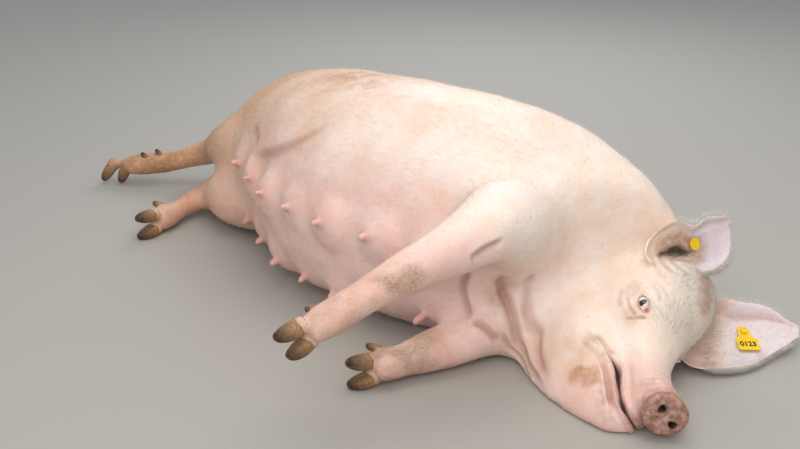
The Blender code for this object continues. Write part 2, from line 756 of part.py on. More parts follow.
def flag(name, place, out, hang, group):
    """A plate that widens away from the pin it hangs on."""
    side = out.cross(hang)
    corners = [place + hang * x + side * y for x, y in FLAG_OUTLINE]
    corners += [place + hang * x - side * y for x, y in reversed(FLAG_OUTLINE)]
    bm = bmesh.new()
    face = bm.faces.new([bm.verts.new(corner) for corner in corners])
    pushed = bmesh.ops.extrude_face_region(bm, geom=[face])
    lifted = [item for item in pushed["geom"] if isinstance(item, bmesh.types.BMVert)]
    bmesh.ops.translate(bm, verts=lifted, vec=out * FLAG_THICKNESS)
    return new_object(name, bm, group)


def tags(ear_right, ear_left, cutters, group):
    """A round button in her right ear and a plate with its stud in her left."""
    out = ear_axes(EAR_RIGHT)[2]
    front = on_ear(ear_right, EAR_RIGHT, TAG_RIGHT["pin"])
    off = SHEET_OFF + STUD_THICKNESS / 2
    pin_hole(ear_right, front, out, cutters)
    behind = EAR_THICKNESS + off
    made = [stud("tag_right_button", front, out, (off, behind), TAG_RIGHT["head"], group)]
    front = on_ear(ear_left, EAR_LEFT, TAG_LEFT["pin"])
    feet = [on_ear(ear_left, EAR_LEFT, place) for place in TAG_LEFT["feet"]]
    hang = ((feet[0] + feet[1]) / 2 - front).normalized()
    out = (feet[1] - front).cross(feet[0] - front).normalized()
    out *= math.copysign(1.0, out.dot(ear_axes(EAR_LEFT)[2]))
    pin_hole(ear_left, front, out, cutters)
    plate = flag("tag_left_flag", front + out * FLAG_LIFT, out, hang, group)
    pin_hole(plate, front, out, cutters)
    ahead = FLAG_LIFT + FLAG_THICKNESS + STUD_OFF + STUD_THICKNESS / 2
    made.append(plate)
    made.append(stud("tag_left_stud", front, out, (ahead, behind), TAG_LEFT["head"], group))
    return made


# ---------------------------------------------------------------- finishing
def cleaned(obj):
    """Takes out what the cuts left too small to matter."""
    bm = bmesh.new()
    bm.from_mesh(obj.data)
    bmesh.ops.triangulate(bm, faces=bm.faces[:])
    bmesh.ops.remove_doubles(bm, verts=bm.verts, dist=MERGE)
    bmesh.ops.dissolve_degenerate(bm, edges=bm.edges, dist=MERGE)
    bmesh.ops.recalc_face_normals(bm, faces=bm.faces)
    bm.to_mesh(obj.data)
    bm.free()


def centred(objects):
    """Brings the middle of her footprint to the origin."""
    places = [vert.co for obj in objects for vert in obj.data.vertices]
    low = Vector([min(place[axis] for place in places) for axis in range(3)])
    high = Vector([max(place[axis] for place in places) for axis in range(3)])
    shift = Vector((-(low.x + high.x) / 2, -(low.y + high.y) / 2, -low.z))
    for obj in objects:
        obj.data.transform(Matrix.Translation(shift))


def finish(objects):
    """Gives each object its own material, and rounds the look of those that are round."""
    for obj in objects:
        kind = next(kind for kind in LOOKS if obj.name.startswith(kind))
        colour, roughness, smooth = LOOKS[kind]
        obj.data.materials.clear()
        obj.data.materials.append(new_material(obj.name + "_surface", colour, roughness))
        for face in obj.data.polygons:
            face.use_smooth = smooth


def main():
    clear_scene()
    flesh = new_collection("flesh")
    cutters = new_collection("cutters")
    sow = new_collection("sow")
    trunk_core(flesh)
    head_core("skull_core", SKULL, flesh)
    head_core("jaw_core", JAW, flesh)
    disc_core(flesh)
    udder_cores(flesh)
    limb("foreleg_right", FORELEG_RIGHT, flesh)
    limb("foreleg_left", FORELEG_LEFT, flesh)
    limb("hindleg_right", HINDLEG_RIGHT, flesh)
    limb("hindleg_left", HINDLEG_LEFT, flesh)
    body = thinned(merged("body", flesh), FLESH_TRIANGLES)
    rest_on_floor(body)
    added = new_collection("teats")
    teats(added)
    boolean(body, added, "UNION")
    grown = clearance(body, cutters)
    openings = new_collection("openings")
    face_openings(openings)
    boolean(body, openings)
    parting = new_collection("parting")
    plates(parting)
    boolean(body, parting)
    parted(body, sow)
    for name, place in EYES.items():
        ball(name, head_point(*sunk_eye(place)), (EYE_RADIUS,) * 3, HEAD_AXES, sow, 16, 8)
    lower_eye = head_point(*sunk_eye(EYES["eye_left"]))
    room = ball("eye_room", lower_eye, (EYE_ROOM,) * 3, HEAD_AXES, cutters)
    ears = [ear("ear_right", EAR_RIGHT, sow), ear("ear_left", EAR_LEFT, sow)]
    boolean(ears[1], room)
    for obj in [*ears, limb("tail", TAIL, sow, TAIL_SIDES, 3), *claws(sow)]:
        boolean(obj, grown)
        rest_on_floor(obj)
    tags(*ears, cutters, sow)
    for group in (added, openings, parting, cutters):
        for obj in group.objects:
            hide_cutter(obj)
    for obj in sow.objects:
        cleaned(obj)
    centred(sow.objects)
    finish(sow.objects)


main()
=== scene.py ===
import math

import bmesh
import bpy
import numpy as np
from mathutils import Matrix, Vector, noise
from mathutils.bvhtree import BVHTree
from mathutils.kdtree import KDTree


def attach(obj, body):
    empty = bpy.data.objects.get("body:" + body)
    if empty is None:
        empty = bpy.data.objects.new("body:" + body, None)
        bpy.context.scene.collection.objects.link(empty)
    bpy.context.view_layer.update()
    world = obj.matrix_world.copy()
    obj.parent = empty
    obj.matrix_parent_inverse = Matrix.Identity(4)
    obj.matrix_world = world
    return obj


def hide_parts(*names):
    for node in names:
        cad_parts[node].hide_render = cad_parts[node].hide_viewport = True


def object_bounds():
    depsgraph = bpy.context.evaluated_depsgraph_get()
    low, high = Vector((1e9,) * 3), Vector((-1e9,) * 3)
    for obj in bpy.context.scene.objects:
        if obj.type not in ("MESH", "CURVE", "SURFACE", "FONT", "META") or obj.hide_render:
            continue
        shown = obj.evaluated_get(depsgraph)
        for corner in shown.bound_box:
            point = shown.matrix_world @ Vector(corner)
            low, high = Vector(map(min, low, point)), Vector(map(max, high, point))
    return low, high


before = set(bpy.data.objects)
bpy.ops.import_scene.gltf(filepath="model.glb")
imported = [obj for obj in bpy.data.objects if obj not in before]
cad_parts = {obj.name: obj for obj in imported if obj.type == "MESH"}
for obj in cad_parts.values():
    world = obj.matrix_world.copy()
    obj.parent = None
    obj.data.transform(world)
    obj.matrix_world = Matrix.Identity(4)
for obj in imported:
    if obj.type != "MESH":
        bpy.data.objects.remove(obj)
cadLow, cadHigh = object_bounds()
rng = np.random.default_rng(11)

# The head's own axes: x from the poll to the snout, y to her left, z up through the forehead.
shift = np.array((-0.0929, 0.0876, 0.0))  # from the modelling axes to the frame
headPoll = np.array((0.834, 0.286, 0.142)) + shift
headForward = np.array((0.726, -0.687, -0.043))
headForward /= np.linalg.norm(headForward)
headLeft = np.array((0.345, 0.417, -0.841))
headUp = np.cross(headForward, headLeft)
headUp /= np.linalg.norm(headUp)
headLeft = np.cross(headUp, headForward)
headAxes = np.stack((headForward, headLeft, headUp))


def fromHead(points):
    return headPoll + np.asarray(points, float) @ headAxes


def toHead(points):
    return (np.asarray(points, float) - headPoll) @ headAxes.T


# Millimetres in metres, to the nearest micrometre.
def inMetres(values):
    return np.round(np.array(values, float) / 1000, 6)


def unit(vector):
    vector = np.asarray(vector, float)
    return vector / np.maximum(np.linalg.norm(vector, axis=-1, keepdims=True), 1e-9)


def step(low, high, value):
    t = np.clip((np.asarray(value, float) - low) / (high - low), 0, 1)
    return t * t * (3 - 2 * t)


def near(points, place, radius, soft=0.5):
    distance = np.linalg.norm(points - np.asarray(place), axis=1)
    return step(radius * (1 + soft), radius * (1 - soft), distance)


def rowsOf(items, key, kind=float):
    flat = np.empty(len(items) * 3, kind)
    items.foreach_get(key, flat)
    return flat.reshape(-1, 3)


def coordsOf(mesh):
    return rowsOf(mesh.vertices, "co")


def normalsOf(mesh):
    return rowsOf(mesh.vertex_normals, "vector")


# Kept inside the box of the CAD form, by a margin.
def boxed(points, margin):
    return np.clip(points, np.array(cadLow) + margin, np.array(cadHigh) - margin)


def putCoords(mesh, points):
    mesh.vertices.foreach_set("co", np.ascontiguousarray(points).ravel())
    mesh.update()


def addLayer(mesh, name, values):
    layer = mesh.attributes.new(name, "FLOAT", "POINT")
    layer.data.foreach_set("value", values.astype(np.float32))


def newObject(name, mesh, smooth=True):
    obj = bpy.data.objects.new(name, mesh)
    bpy.context.scene.collection.objects.link(obj)
    if smooth:
        mesh.polygons.foreach_set("use_smooth", [True] * len(mesh.polygons))
    return obj


def opened(mesh):
    bm = bmesh.new()
    bm.from_mesh(mesh)
    return bm


# Writes what was edited into a mesh, or into a new one by a name.
def closed(bm, mesh):
    if isinstance(mesh, str):
        mesh = bpy.data.meshes.new(mesh)
    bm.to_mesh(mesh)
    bm.free()
    return mesh


def meshFrom(name, points, faces):
    mesh = bpy.data.meshes.new(name)
    mesh.from_pydata([tuple(point) for point in points], [], [tuple(face) for face in faces])
    bm = opened(mesh)
    bmesh.ops.recalc_face_normals(bm, faces=bm.faces)
    return closed(bm, mesh)


# A ball put in place by a matrix, each of its points first shaped if a way to is given.
def ballMesh(name, segments, rings, radius, matrix, shaped=None):
    bm = bmesh.new()
    bmesh.ops.create_uvsphere(bm, u_segments=segments, v_segments=rings, radius=radius)
    if shaped:
        for vert in bm.verts:
            vert.co = shaped(*vert.co)
    bmesh.ops.transform(bm, matrix=matrix, verts=bm.verts)
    return closed(bm, name)


def turnedTo(place, way):
    return Matrix.Translation(Vector(place)) @ Vector(way).to_track_quat("Z", "Y").to_matrix().to_4x4()


def applied(obj):
    graph = bpy.context.evaluated_depsgraph_get()
    mesh = bpy.data.meshes.new_from_object(obj.evaluated_get(graph))
    old = obj.data
    obj.modifiers.clear()
    obj.data = mesh
    bpy.data.meshes.remove(old)
    return obj


def addModifier(obj, kind, **values):
    made = obj.modifiers.new(kind.lower(), kind)
    for key, value in values.items():
        setattr(made, key, value)
    return made


def weighted(obj, name, weights, levels=12):
    group = obj.vertex_groups.new(name=name)
    marks = np.round(np.clip(weights, 0, 1) * levels).astype(int)
    for level in range(1, levels + 1):
        chosen = np.flatnonzero(marks == level)
        if len(chosen):
            group.add(chosen.tolist(), level / levels, "REPLACE")
    return group.name


def smoothed(obj, weights, passes, factor=0.6):
    name = weighted(obj, "soft", weights)
    addModifier(obj, "SMOOTH", factor=factor, iterations=passes, vertex_group=name)
    applied(obj)
    obj.vertex_groups.clear()


def remeshed(obj, grain):
    addModifier(obj, "REMESH", mode="VOXEL", voxel_size=grain)
    return applied(obj)


def joined(name, meshes):
    bm = bmesh.new()
    for mesh in meshes:
        bm.from_mesh(mesh)
    return newObject(name, closed(bm, name))


# A copy of a CAD node's mesh, merged and grown a little so that neighbours meet.
def cadCopy(node, swell):
    bm = opened(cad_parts[node].data)
    bmesh.ops.remove_doubles(bm, verts=bm.verts, dist=0.00002)
    bmesh.ops.recalc_face_normals(bm, faces=bm.faces)
    bm.normal_update()
    for vert in bm.verts:
        vert.co += vert.normal * swell
    return closed(bm, node + "Copy")


def between(a, b, c, d, t):
    return 0.5 * (2 * b + (c - a) * t + (2 * a - 5 * b + 4 * c - d) * t * t + (3 * b - a - 3 * c + d) * t**3)


# Rows of numbers with smooth ones put between them, at even steps.
def curveThrough(rows, count):
    rows = np.asarray(rows, float)
    made = []
    for place in np.linspace(0, len(rows) - 1, count):
        i = min(int(place), len(rows) - 2)
        four = [rows[min(max(i + k, 0), len(rows) - 1)] for k in (-1, 0, 1, 2)]
        made.append(between(*four, place - i))
    return np.array(made)


# Distance to a line through places, and how far along it the nearest point lies, from 0 to 1. Given the way
# the skin faces at each place, depth under the line doesn't count. Places farther than the reach are left
# at a great distance.
def lineDistance(points, line, facing=None, reach=0.06):
    line = np.asarray(line, float)
    lengths = np.linalg.norm(np.diff(line, axis=0), axis=1)
    starts = np.concatenate(([0], np.cumsum(lengths)))
    best = np.full(len(points), 1e9)
    along = np.zeros(len(points))
    low, high = line.min(axis=0) - reach, line.max(axis=0) + reach
    chosen = np.flatnonzero(np.all((points > low) & (points < high), axis=1))
    close = points[chosen]
    least, share = np.full(len(chosen), 1e9), np.zeros(len(chosen))
    for i, (a, b) in enumerate(zip(line, line[1:])):
        t = np.clip(((close - a) @ (b - a)) / lengths[i] ** 2, 0, 1)
        off = close - (a + t[:, None] * (b - a))
        distance = np.linalg.norm(off, axis=1)
        if facing is not None:
            out = unit(facing[i] + t[:, None] * (facing[i + 1] - facing[i]))
            sunk = np.sum(off * out, axis=1)
            flat = np.linalg.norm(off - out * sunk[:, None], axis=1)
            distance = np.where((sunk < 0) & (sunk > -0.035), flat, distance)
        closer = distance < least
        least[closer] = distance[closer]
        share[closer] = ((starts[i] + t * lengths[i]) / starts[-1])[closer]
    best[chosen], along[chosen] = least, share
    return best, along


print("tools ready")

# Ribs run from root to tip: along and across to the lower rim, along and across to the upper rim, and how
# deep the ear is cupped there.
ears = {
    "right": {
        "root": np.array((0.862, 0.188, 0.244)) + shift,
        "along": (0.060, 0.990, 0.040),
        "across": (-0.330, 0.000, 0.940),
        "ribs": (
            (-0.040, -0.006, -0.040, 0.012, 0.014),
            (-0.010, -0.032, -0.018, 0.046, 0.026),
            (0.038, -0.050, 0.030, 0.068, 0.024),
            (0.082, -0.062, 0.080, 0.043, 0.016),
            (0.122, -0.066, 0.120, 0.050, 0.011),
            (0.156, -0.058, 0.164, 0.042, 0.007),
            (0.180, -0.028, 0.192, 0.034, 0.003),
            (0.194, 0.002, 0.201, 0.024, 0.001),
        ),
    },
    "left": {
        "root": np.array((0.925, 0.265, 0.050)) + shift,
        "along": (0.430, 0.900, -0.100),
        "across": (-0.820, 0.400, 0.410),
        "ribs": (
            (-0.105, -0.018, -0.010, 0.070, 0.010),
            (-0.085, -0.076, 0.030, 0.085, 0.016),
            (-0.040, -0.094, 0.068, 0.100, 0.018),
            (0.020, -0.096, 0.105, 0.090, 0.018),
            (0.075, -0.083, 0.140, 0.082, 0.015),
            (0.125, -0.058, 0.170, 0.068, 0.010),
            (0.180, -0.030, 0.202, 0.044, 0.005),
            (0.218, -0.010, 0.234, 0.020, 0.001),
        ),
    },
}
earLook = {
    "rows": 76,
    "columns": 48,
    "edgeHalf": 0.0021,
    "middleHalf": 0.0028,
    "rootHalf": 0.0048,
    "rolls": {"right": (0.005, 0.006), "left": (0.001, 0.013)},  # of the lower and upper rims
    "sunk": {"right": 0.020, "left": 0.006},  # of the root in the flesh
}


def earPoint(ear, along, across, lift=0.0):
    a, c = unit(ear["along"]), unit(ear["across"])
    out = unit(np.cross(a, c))
    return ear["root"] + a * along + c * across + out * lift


# The middle of an ear's sheet: places, which way each faces, and its half thickness.
def earSheet(side):
    ear = ears[side]
    rows, columns = earLook["rows"], earLook["columns"]
    ribs = curveThrough(ear["ribs"], rows)
    t = np.linspace(0, 1, columns)[None, :]
    lowAlong, lowAcross, highAlong, highAcross, cup = (ribs[:, k][:, None] for k in range(5))
    a, c = unit(ear["along"]), unit(ear["across"])
    out = unit(np.cross(a, c))
    share = np.linspace(0, 1, rows)[:, None]
    lift = cup * ((2 * t - 1) ** 2 - 1)
    lowRoll, highRoll = earLook["rolls"][side]
    middling = step(0.10, 0.30, share) * step(0.97, 0.75, share)
    lift = lift + middling * (lowRoll * step(0.16, 0.02, t) + highRoll * step(0.85, 0.97, t))
    lift = lift - middling * 0.004 * np.exp(-(((t - 0.84) / 0.05) ** 2))
    lift = lift + 0.0022 * (1 - step(0.1, 0.75, share)) * np.sin(t * 26 + 3 * share)
    lift = lift + 0.0014 * np.sin(share * 17 + 3 * t) * step(0.2, 0.5, share)
    lift = lift - earLook["sunk"][side] * step(0.34, 0.06, share) * (1 + 0.6 * step(0.45, 0.95, t))
    place = (
        ear["root"]
        + (lowAlong + (highAlong - lowAlong) * t)[..., None] * a
        + (lowAcross + (highAcross - lowAcross) * t)[..., None] * c
        + lift[..., None] * out
    )
    normal = unit(np.cross(np.gradient(place, axis=0), np.gradient(place, axis=1)))
    normal = normal * np.sign(np.sum(normal * out, axis=-1, keepdims=True))
    edge = 1 - np.abs(2 * t - 1) ** 4
    half = earLook["edgeHalf"] + (earLook["middleHalf"] - earLook["edgeHalf"]) * edge * (1 - share**3)
    half = half + (earLook["rootHalf"] - earLook["middleHalf"]) * (1 - step(0.05, 0.45, share)) * edge
    return place, normal, half


def treeOf(points):
    tree = KDTree(len(points))
    for i, point in enumerate(points):
        tree.insert(point, i)
    tree.balance()
    return tree


sheets = {side: earSheet(side) for side in ears}
sheetTrees = {side: treeOf(sheets[side][0].reshape(-1, 3)) for side in ears}


def earMesh(side):
    place, normal, half = sheets[side]
    rows, columns = half.shape
    front = (place + normal * half[..., None]).reshape(-1, 3)
    back = (place - normal * half[..., None]).reshape(-1, 3)
    size = rows * columns
    index = np.arange(size).reshape(rows, columns)
    faces = []
    for i in range(rows - 1):
        for j in range(columns - 1):
            quad = (index[i, j], index[i, j + 1], index[i + 1, j + 1], index[i + 1, j])
            faces.append(quad)
            faces.append(tuple(k + size for k in reversed(quad)))
    rim = [*index[0, :], *index[1:, -1], *index[-1, -2::-1], *index[-2:0:-1, 0]]
    for k, m in zip(rim, rim[1:] + rim[:1]):
        faces.append((k, k + size, m + size, m))
    return meshFrom("ear" + side, np.concatenate((front, back)), faces)


# For places near an ear: how far along it and across it they lie, as shares, and in front of it.
def onEar(points, side):
    place, normal, half = sheets[side]
    rows, columns = half.shape
    flat, facing = place.reshape(-1, 3), normal.reshape(-1, 3)
    along, across = np.full(len(points), -1.0), np.full(len(points), 0.5)
    height = np.full(len(points), 9.0)
    low, high = flat.min(axis=0) - 0.02, flat.max(axis=0) + 0.02
    for i in np.flatnonzero(np.all((points > low) & (points < high), axis=1)):
        _, k, distance = sheetTrees[side].find(points[i])
        along[i] = (k // columns) / (rows - 1)
        across[i] = (k % columns) / (columns - 1)
        height[i] = math.copysign(distance, (points[i] - flat[k]) @ facing[k])
    return along, across, height


udder = {
    "from": -0.230,
    "to": 0.490,
    "each": 7,
    "turns": (0.16, -0.46),
    "length": 0.020,
    "radius": 0.0095,
    "stand": 0.028,  # of the gland's top off the belly's line
    "unevenness": 0.12,  # of the ways the teats point
}
# Down the trunk's length: x, y and z of its middle, and how far it reaches to the belly, up and down.
trunkRows = (
    (-0.420, 0.140, 0.195, 0.200, 0.177, 0.220),
    (-0.220, 0.095, 0.200, 0.240, 0.242, 0.235),
    (0.020, 0.045, 0.205, 0.290, 0.278, 0.240),
    (0.250, 0.035, 0.205, 0.290, 0.298, 0.240),
    (0.450, 0.055, 0.200, 0.250, 0.302, 0.235),
)


def blunted(x, y, z):
    wide = min((1 - z**4) / max(1 - z**2, 0.1) ** 0.5, 1.5)
    return x * wide, y * wide, z


def teatMeshes():
    table = np.array(trunkRows)
    made = []
    for turn in udder["turns"]:
        for i in range(udder["each"]):
            x = udder["from"] + (udder["to"] - udder["from"]) * i / (udder["each"] - 1)
            y, z, belly, up, down = (np.interp(x, table[:, 0], table[:, k]) for k in range(1, 6))
            out = np.array((0.0, -math.cos(turn), math.sin(turn)))
            tall = up if turn > 0 else down
            reach = 1 / math.sqrt((out[1] / belly) ** 2 + (out[2] / tall) ** 2)
            base = np.array((x, y, z)) + out * (reach + udder["stand"]) + shift
            lean = unit(out + rng.normal(0, udder["unevenness"], 3))
            size = Matrix.Diagonal((udder["radius"], udder["radius"], udder["length"], 1))
            made.append((ballMesh("teat", 14, 10, 1.0, turnedTo(base, lean) @ size, blunted), base))
    return made


clawLook = {
    "claws": {"size": (0.054, 0.040, 0.036), "word": "claw"},
    "dewclaws": {"size": (0.026, 0.019, 0.018), "word": "dewclaw"},
    "spread": 0.019,
    "splay": 0.14,
    # From heel to tip, as shares of its size: how far along, how far down, half height and half width.
    "shape": (
        (-0.25, 0.00, 0.40, 0.40),
        (0.10, 0.00, 0.49, 0.49),
        (0.40, 0.02, 0.48, 0.49),
        (0.65, 0.08, 0.41, 0.44),
        (0.85, 0.17, 0.30, 0.34),
        (0.96, 0.25, 0.18, 0.22),
        (1.00, 0.30, 0.08, 0.10),
    ),
    "rings": 40,
    "sides": 36,
    "shrunk": 0.97,  # so that it lies inside its plain form
    "offFloor": 0.0003,
    "heel": "#a07a50",
    "tip": "#3d2214",
    "soil": "#6d5334",
}
# The place between two claws, the way they point and the way across from one to the other.
feet = {
    "fore_right": {
        "claws": ((0.620, -0.598, 0.224), (-0.150, -0.860, -0.480), (-0.100, -0.470, 0.870)),
        "dewclaws": ((0.600, -0.545, 0.232), (-0.700, -0.600, -0.250), (-0.100, -0.250, 0.950)),
    },
    "fore_left": {
        "claws": ((0.543, -0.372, 0.038), (-0.180, -0.980, -0.060), (0.000, -0.060, 0.998)),
        "dewclaws": ((0.512, -0.330, 0.042), (-0.750, -0.600, 0.000), (0.000, 0.000, 1.000)),
    },
    "hind_right": {
        "claws": ((-0.893, -0.133, 0.056), (-0.250, -0.380, -0.880), (0.660, 0.750, 0.000)),
        "dewclaws": ((-0.812, -0.062, 0.084), (-0.250, -0.500, 0.620), (0.500, 0.850, 0.100)),
    },
    "hind_left": {
        "claws": ((-0.475, -0.274, 0.038), (0.280, -0.960, -0.060), (0.000, -0.060, 0.998)),
        "dewclaws": ((-0.517, -0.226, 0.042), (-0.850, -0.480, 0.000), (0.000, 0.000, 1.000)),
    },
}


skinLook = {
    "bodyGrain": 0.0085,
    "fineGrain": 0.0032,
    "triangles": 192000,
    "coat": 0.0012,  # how far it lies under the flesh's own surface
    "swell": 0.0008,  # so that neighbouring forms meet
    "bodySmoothing": 22,
    "toeBack": 0.05,  # of a claw's length, from its place to the middle of its toe
    "toeSize": (0.55, 0.55, 0.34),
}
fleshNodes = ["trunk", "neck", "head", "foreleg_right", "foreleg_left", "hindleg_right", "hindleg_left"]
skinNodes = fleshNodes + ["tail", "ear_right", "ear_left"]


# The pad of skin that each claw comes out of.
def toeMeshes():
    made = []
    for parts in feet.values():
        for kind in ("claws", "dewclaws"):
            place, toes, across = (np.array(value) for value in parts[kind])
            length, height, width = clawLook[kind]["size"]
            across = unit(across)
            for way in (-1, 1):
                forward = unit(unit(toes) + across * way * clawLook["splay"])
                sole = unit(np.cross(forward, across))
                turnTo = Matrix(np.stack((np.cross(sole, forward), sole, forward), axis=1).tolist()).to_4x4()
                centre = place + shift + across * way * clawLook["spread"]
                centre = centre - forward * skinLook["toeBack"] * length
                size = Matrix.Diagonal((*(np.array(skinLook["toeSize"]) * (width, height, length)), 1))
                made.append(ballMesh("toe", 24, 16, 1.0, Matrix.Translation(Vector(centre)) @ turnTo @ size))
    return made


coarse = joined("body", [cadCopy(node, skinLook["swell"]) for node in fleshNodes + ["eye_right", "eye_left"]])
remeshed(coarse, skinLook["bodyGrain"])
places = coordsOf(coarse.data)
limb = np.maximum(step(-0.05, -0.12, places[:, 1]), step(-0.52, -0.66, places[:, 0]))
face = step(0.0, 0.12, toHead(places)[:, 0]) * step(0.58, 0.68, places[:, 0])
smoothed(coarse, np.clip(1 - np.maximum(limb, face), 0, 1), skinLook["bodySmoothing"])
smoothed(coarse, np.ones(len(places)), 4)
addModifier(coarse, "SUBSURF", levels=1, render_levels=1)
applied(coarse)

teats = teatMeshes()
tail = cadCopy("tail", skinLook["swell"])
parts = [coarse.data, tail, earMesh("right"), earMesh("left"), *toeMeshes()] + [mesh for mesh, _ in teats]
skin = joined("sowSkin", parts)
bpy.data.objects.remove(coarse)
remeshed(skin, skinLook["fineGrain"])
smoothed(skin, np.ones(len(skin.data.vertices)), 3)
places = coordsOf(skin.data)
root = near(places, np.array((-0.575, 0.275, 0.20)) + shift, 0.04)
earRoots = {"right": ((-0.01, 0.0), (-0.01, 0.05)), "left": ((-0.06, -0.01), (-0.095, -0.06))}
for side, spots in earRoots.items():
    for along, across in spots:
        root = np.maximum(root, near(places, earPoint(ears[side], along, across, -0.02), 0.055))
smoothed(skin, root, 16)
print("skin joined", len(skin.data.vertices))


# Splits the faces near some places.
def refined(obj, centres, radius):
    bm = opened(obj.data)
    chosen = set()
    for face in bm.faces:
        middle = face.calc_center_median()
        if any((middle - centre).length < radius for centre in centres):
            chosen.update(face.edges)
    bmesh.ops.subdivide_edges(bm, edges=list(chosen), cuts=1, use_grid_fill=True)
    closed(bm, obj.data)


eyes = {
    "right": {"face": (0.178, -0.098, -0.078), "sunk": 0.008, "open": 1.0},
    "left": {"face": (0.178, 0.066, -0.078), "sunk": 0.017, "open": 0.22},
}
eyeLook = {
    "radius": 0.0135,
    "half": 0.0205,
    "tall": 0.0104,
    "lid": 0.0026,
    "cornea": 0.0010,  # how far it stands out from the ball
    "gaze": (0.46, 0.26),  # turned back and down
    # Pads above and below it: height, then place and half length, place and half height.
    "pads": ((0.0030, -0.002, 0.022, 0.015, 0.007), (0.0018, 0.0, 0.020, -0.014, 0.006)),
    # Creases round it: how far out in half openings, depth, the turn they are about and how far they run.
    "creases": (
        (1.45, 0.0018, 1.75, 1.5),
        (2.10, 0.0009, 2.30, 1.0),
        (1.50, 0.0011, -1.60, 1.3),
        (2.20, 0.0006, -2.20, 0.9),
    ),
}
surface = BVHTree.FromObject(skin, bpy.context.evaluated_depsgraph_get())
for side, eye in eyes.items():
    x, y, z = eye["face"]
    eye["middle"] = fromHead((x, y - math.copysign(eye["sunk"], y), z))
    around = [fromHead((x + dx, y, z + dz)) for dx in (-0.025, 0, 0.025) for dz in (-0.02, 0, 0.02)]
    normals = [np.array(surface.find_nearest(Vector(place))[1]) for place in around]
    eye["out"] = unit(np.sum(normals, axis=0))
    if side == "left":  # the ear's root lies over this eye's own skin
        eye["out"] = (headAxes @ eyes["right"]["out"] * (1, -1, 1)) @ headAxes
    eye["long"] = unit(headForward - eye["out"] * (headForward @ eye["out"]))
    eye["up"] = unit(np.cross(eye["long"], eye["out"])) * (1 if y > 0 else -1)
    if eye["up"] @ headUp < 0:
        eye["up"] = -eye["up"]

mouthLine = fromHead(
    (
        (0.258, -0.086, -0.182),
        (0.281, -0.072, -0.176),
        (0.307, -0.058, -0.174),
        (0.333, -0.050, -0.180),
        (0.369, -0.044, -0.184),
        (0.395, -0.036, -0.187),
        (0.416, -0.020, -0.187),
        (0.426, 0.004, -0.188),
        (0.416, 0.024, -0.187),
        (0.392, 0.038, -0.186),
        (0.350, 0.046, -0.182),
        (0.290, 0.056, -0.178),
    )
)
nostrils = fromHead(((0.452, -0.0195, -0.117), (0.452, 0.0225, -0.117)))
snoutLook = {
    "height": -0.118,  # of the disc's middle, on the head's own axis
    "half": (0.052, 0.046),  # of its width and height
    "front": 0.432,
    "ridges": ((0.0024, 0.441), (-0.0052, 0.422)),  # how high the rim and its groove stand, and where along
    "dish": (0.0026, 0.0030),  # the raised edge and the hollow inside it
    "grain": 0.0022,
    "nostril": (0.0095, 0.0066),  # half its length and height
    "nostrilTurn": 0.6,
    "nostrilDepth": 0.016,
    "nostrilLip": 0.0026,
}
mouthLook = {"depth": (0.008, 0.012), "width": (0.0024, 0.0022), "lowerLip": 0.0050, "upperLip": 0.0036}


# A line laid on the plain skin, and the way the skin faces along it.
def onSkin(line):
    found = [surface.find_nearest(Vector(place)) for place in line]
    return np.array([hit[0] for hit in found]), np.array([hit[1] for hit in found])


mouthLine, mouthFacing = onSkin(curveThrough(mouthLine, 30))
lipTurn = ((0.26, 0.30, 0.34, 0.40), (-0.182, -0.174, -0.181, -0.187))  # height of the slit along the head


# How far the lips part along the slit: by the corner on her right, and again at the front.
def gapAlong(along):
    return np.exp(-(((along - 0.19) / 0.09) ** 2)) + 0.7 * np.exp(-(((along - 0.44) / 0.05) ** 2))


refined(skin, [Vector(eye["middle"]) for eye in eyes.values()], 0.034)
refined(skin, [Vector(eye["middle"]) for eye in eyes.values()], 0.023)
refined(skin, [Vector(place) for place in mouthLine[2:24:2]] + [Vector(place) for place in nostrils], 0.017)
print("skin refined", len(skin.data.vertices))

# Folds: places, depth and half width in millimetres, and how far the skin stands up beside them.
folds = {
    "jowl": (((556, 0, 240), (549, -10, 190), (549, 12, 137), (570, 8, 108), (584, 8, 59), (634, -9, 30),
        (720, -45, 14)), 15, 8.5, 0.5),
    "jowlLow": (((566, -20, 87), (574, -1, 41), (611, -4, 19), (665, -32, 3)), 9, 6, 0.6),
    "neck": (((596, 50, 235), (602, 30, 150), (625, 12, 90), (668, -12, 50), (730, -40, 30)), 8, 10, 0.5),
    "groin": (((60, -70, 432), (3, -105, 398), (-41, -118, 367), (-111, -117, 337), (-180, -105, 310),
        (-240, -90, 285)), 7, 9, 0.1),
    "stifle": (((-299, -30, 336), (-259, -56, 328), (-234, -78, 318)), 2, 9, 0.3),
    "hock": (((-588, 16, 215), (-574, 9, 192), (-575, 5, 170)), 7, 6, 0.5),
    "elbow": (((672, -120, 352), (661, -167, 343), (652, -203, 328)), 10, 6, 0.3),
    "chest": (((500, -55, 215), (478, -51, 171), (482, -48, 136), (514, -62, 105)), 12, 7.5, 0.5),
    "armpit": (((514, -62, 105), (545, -48, 94), (568, -25, 54)), 10, 7, 0.5),
}
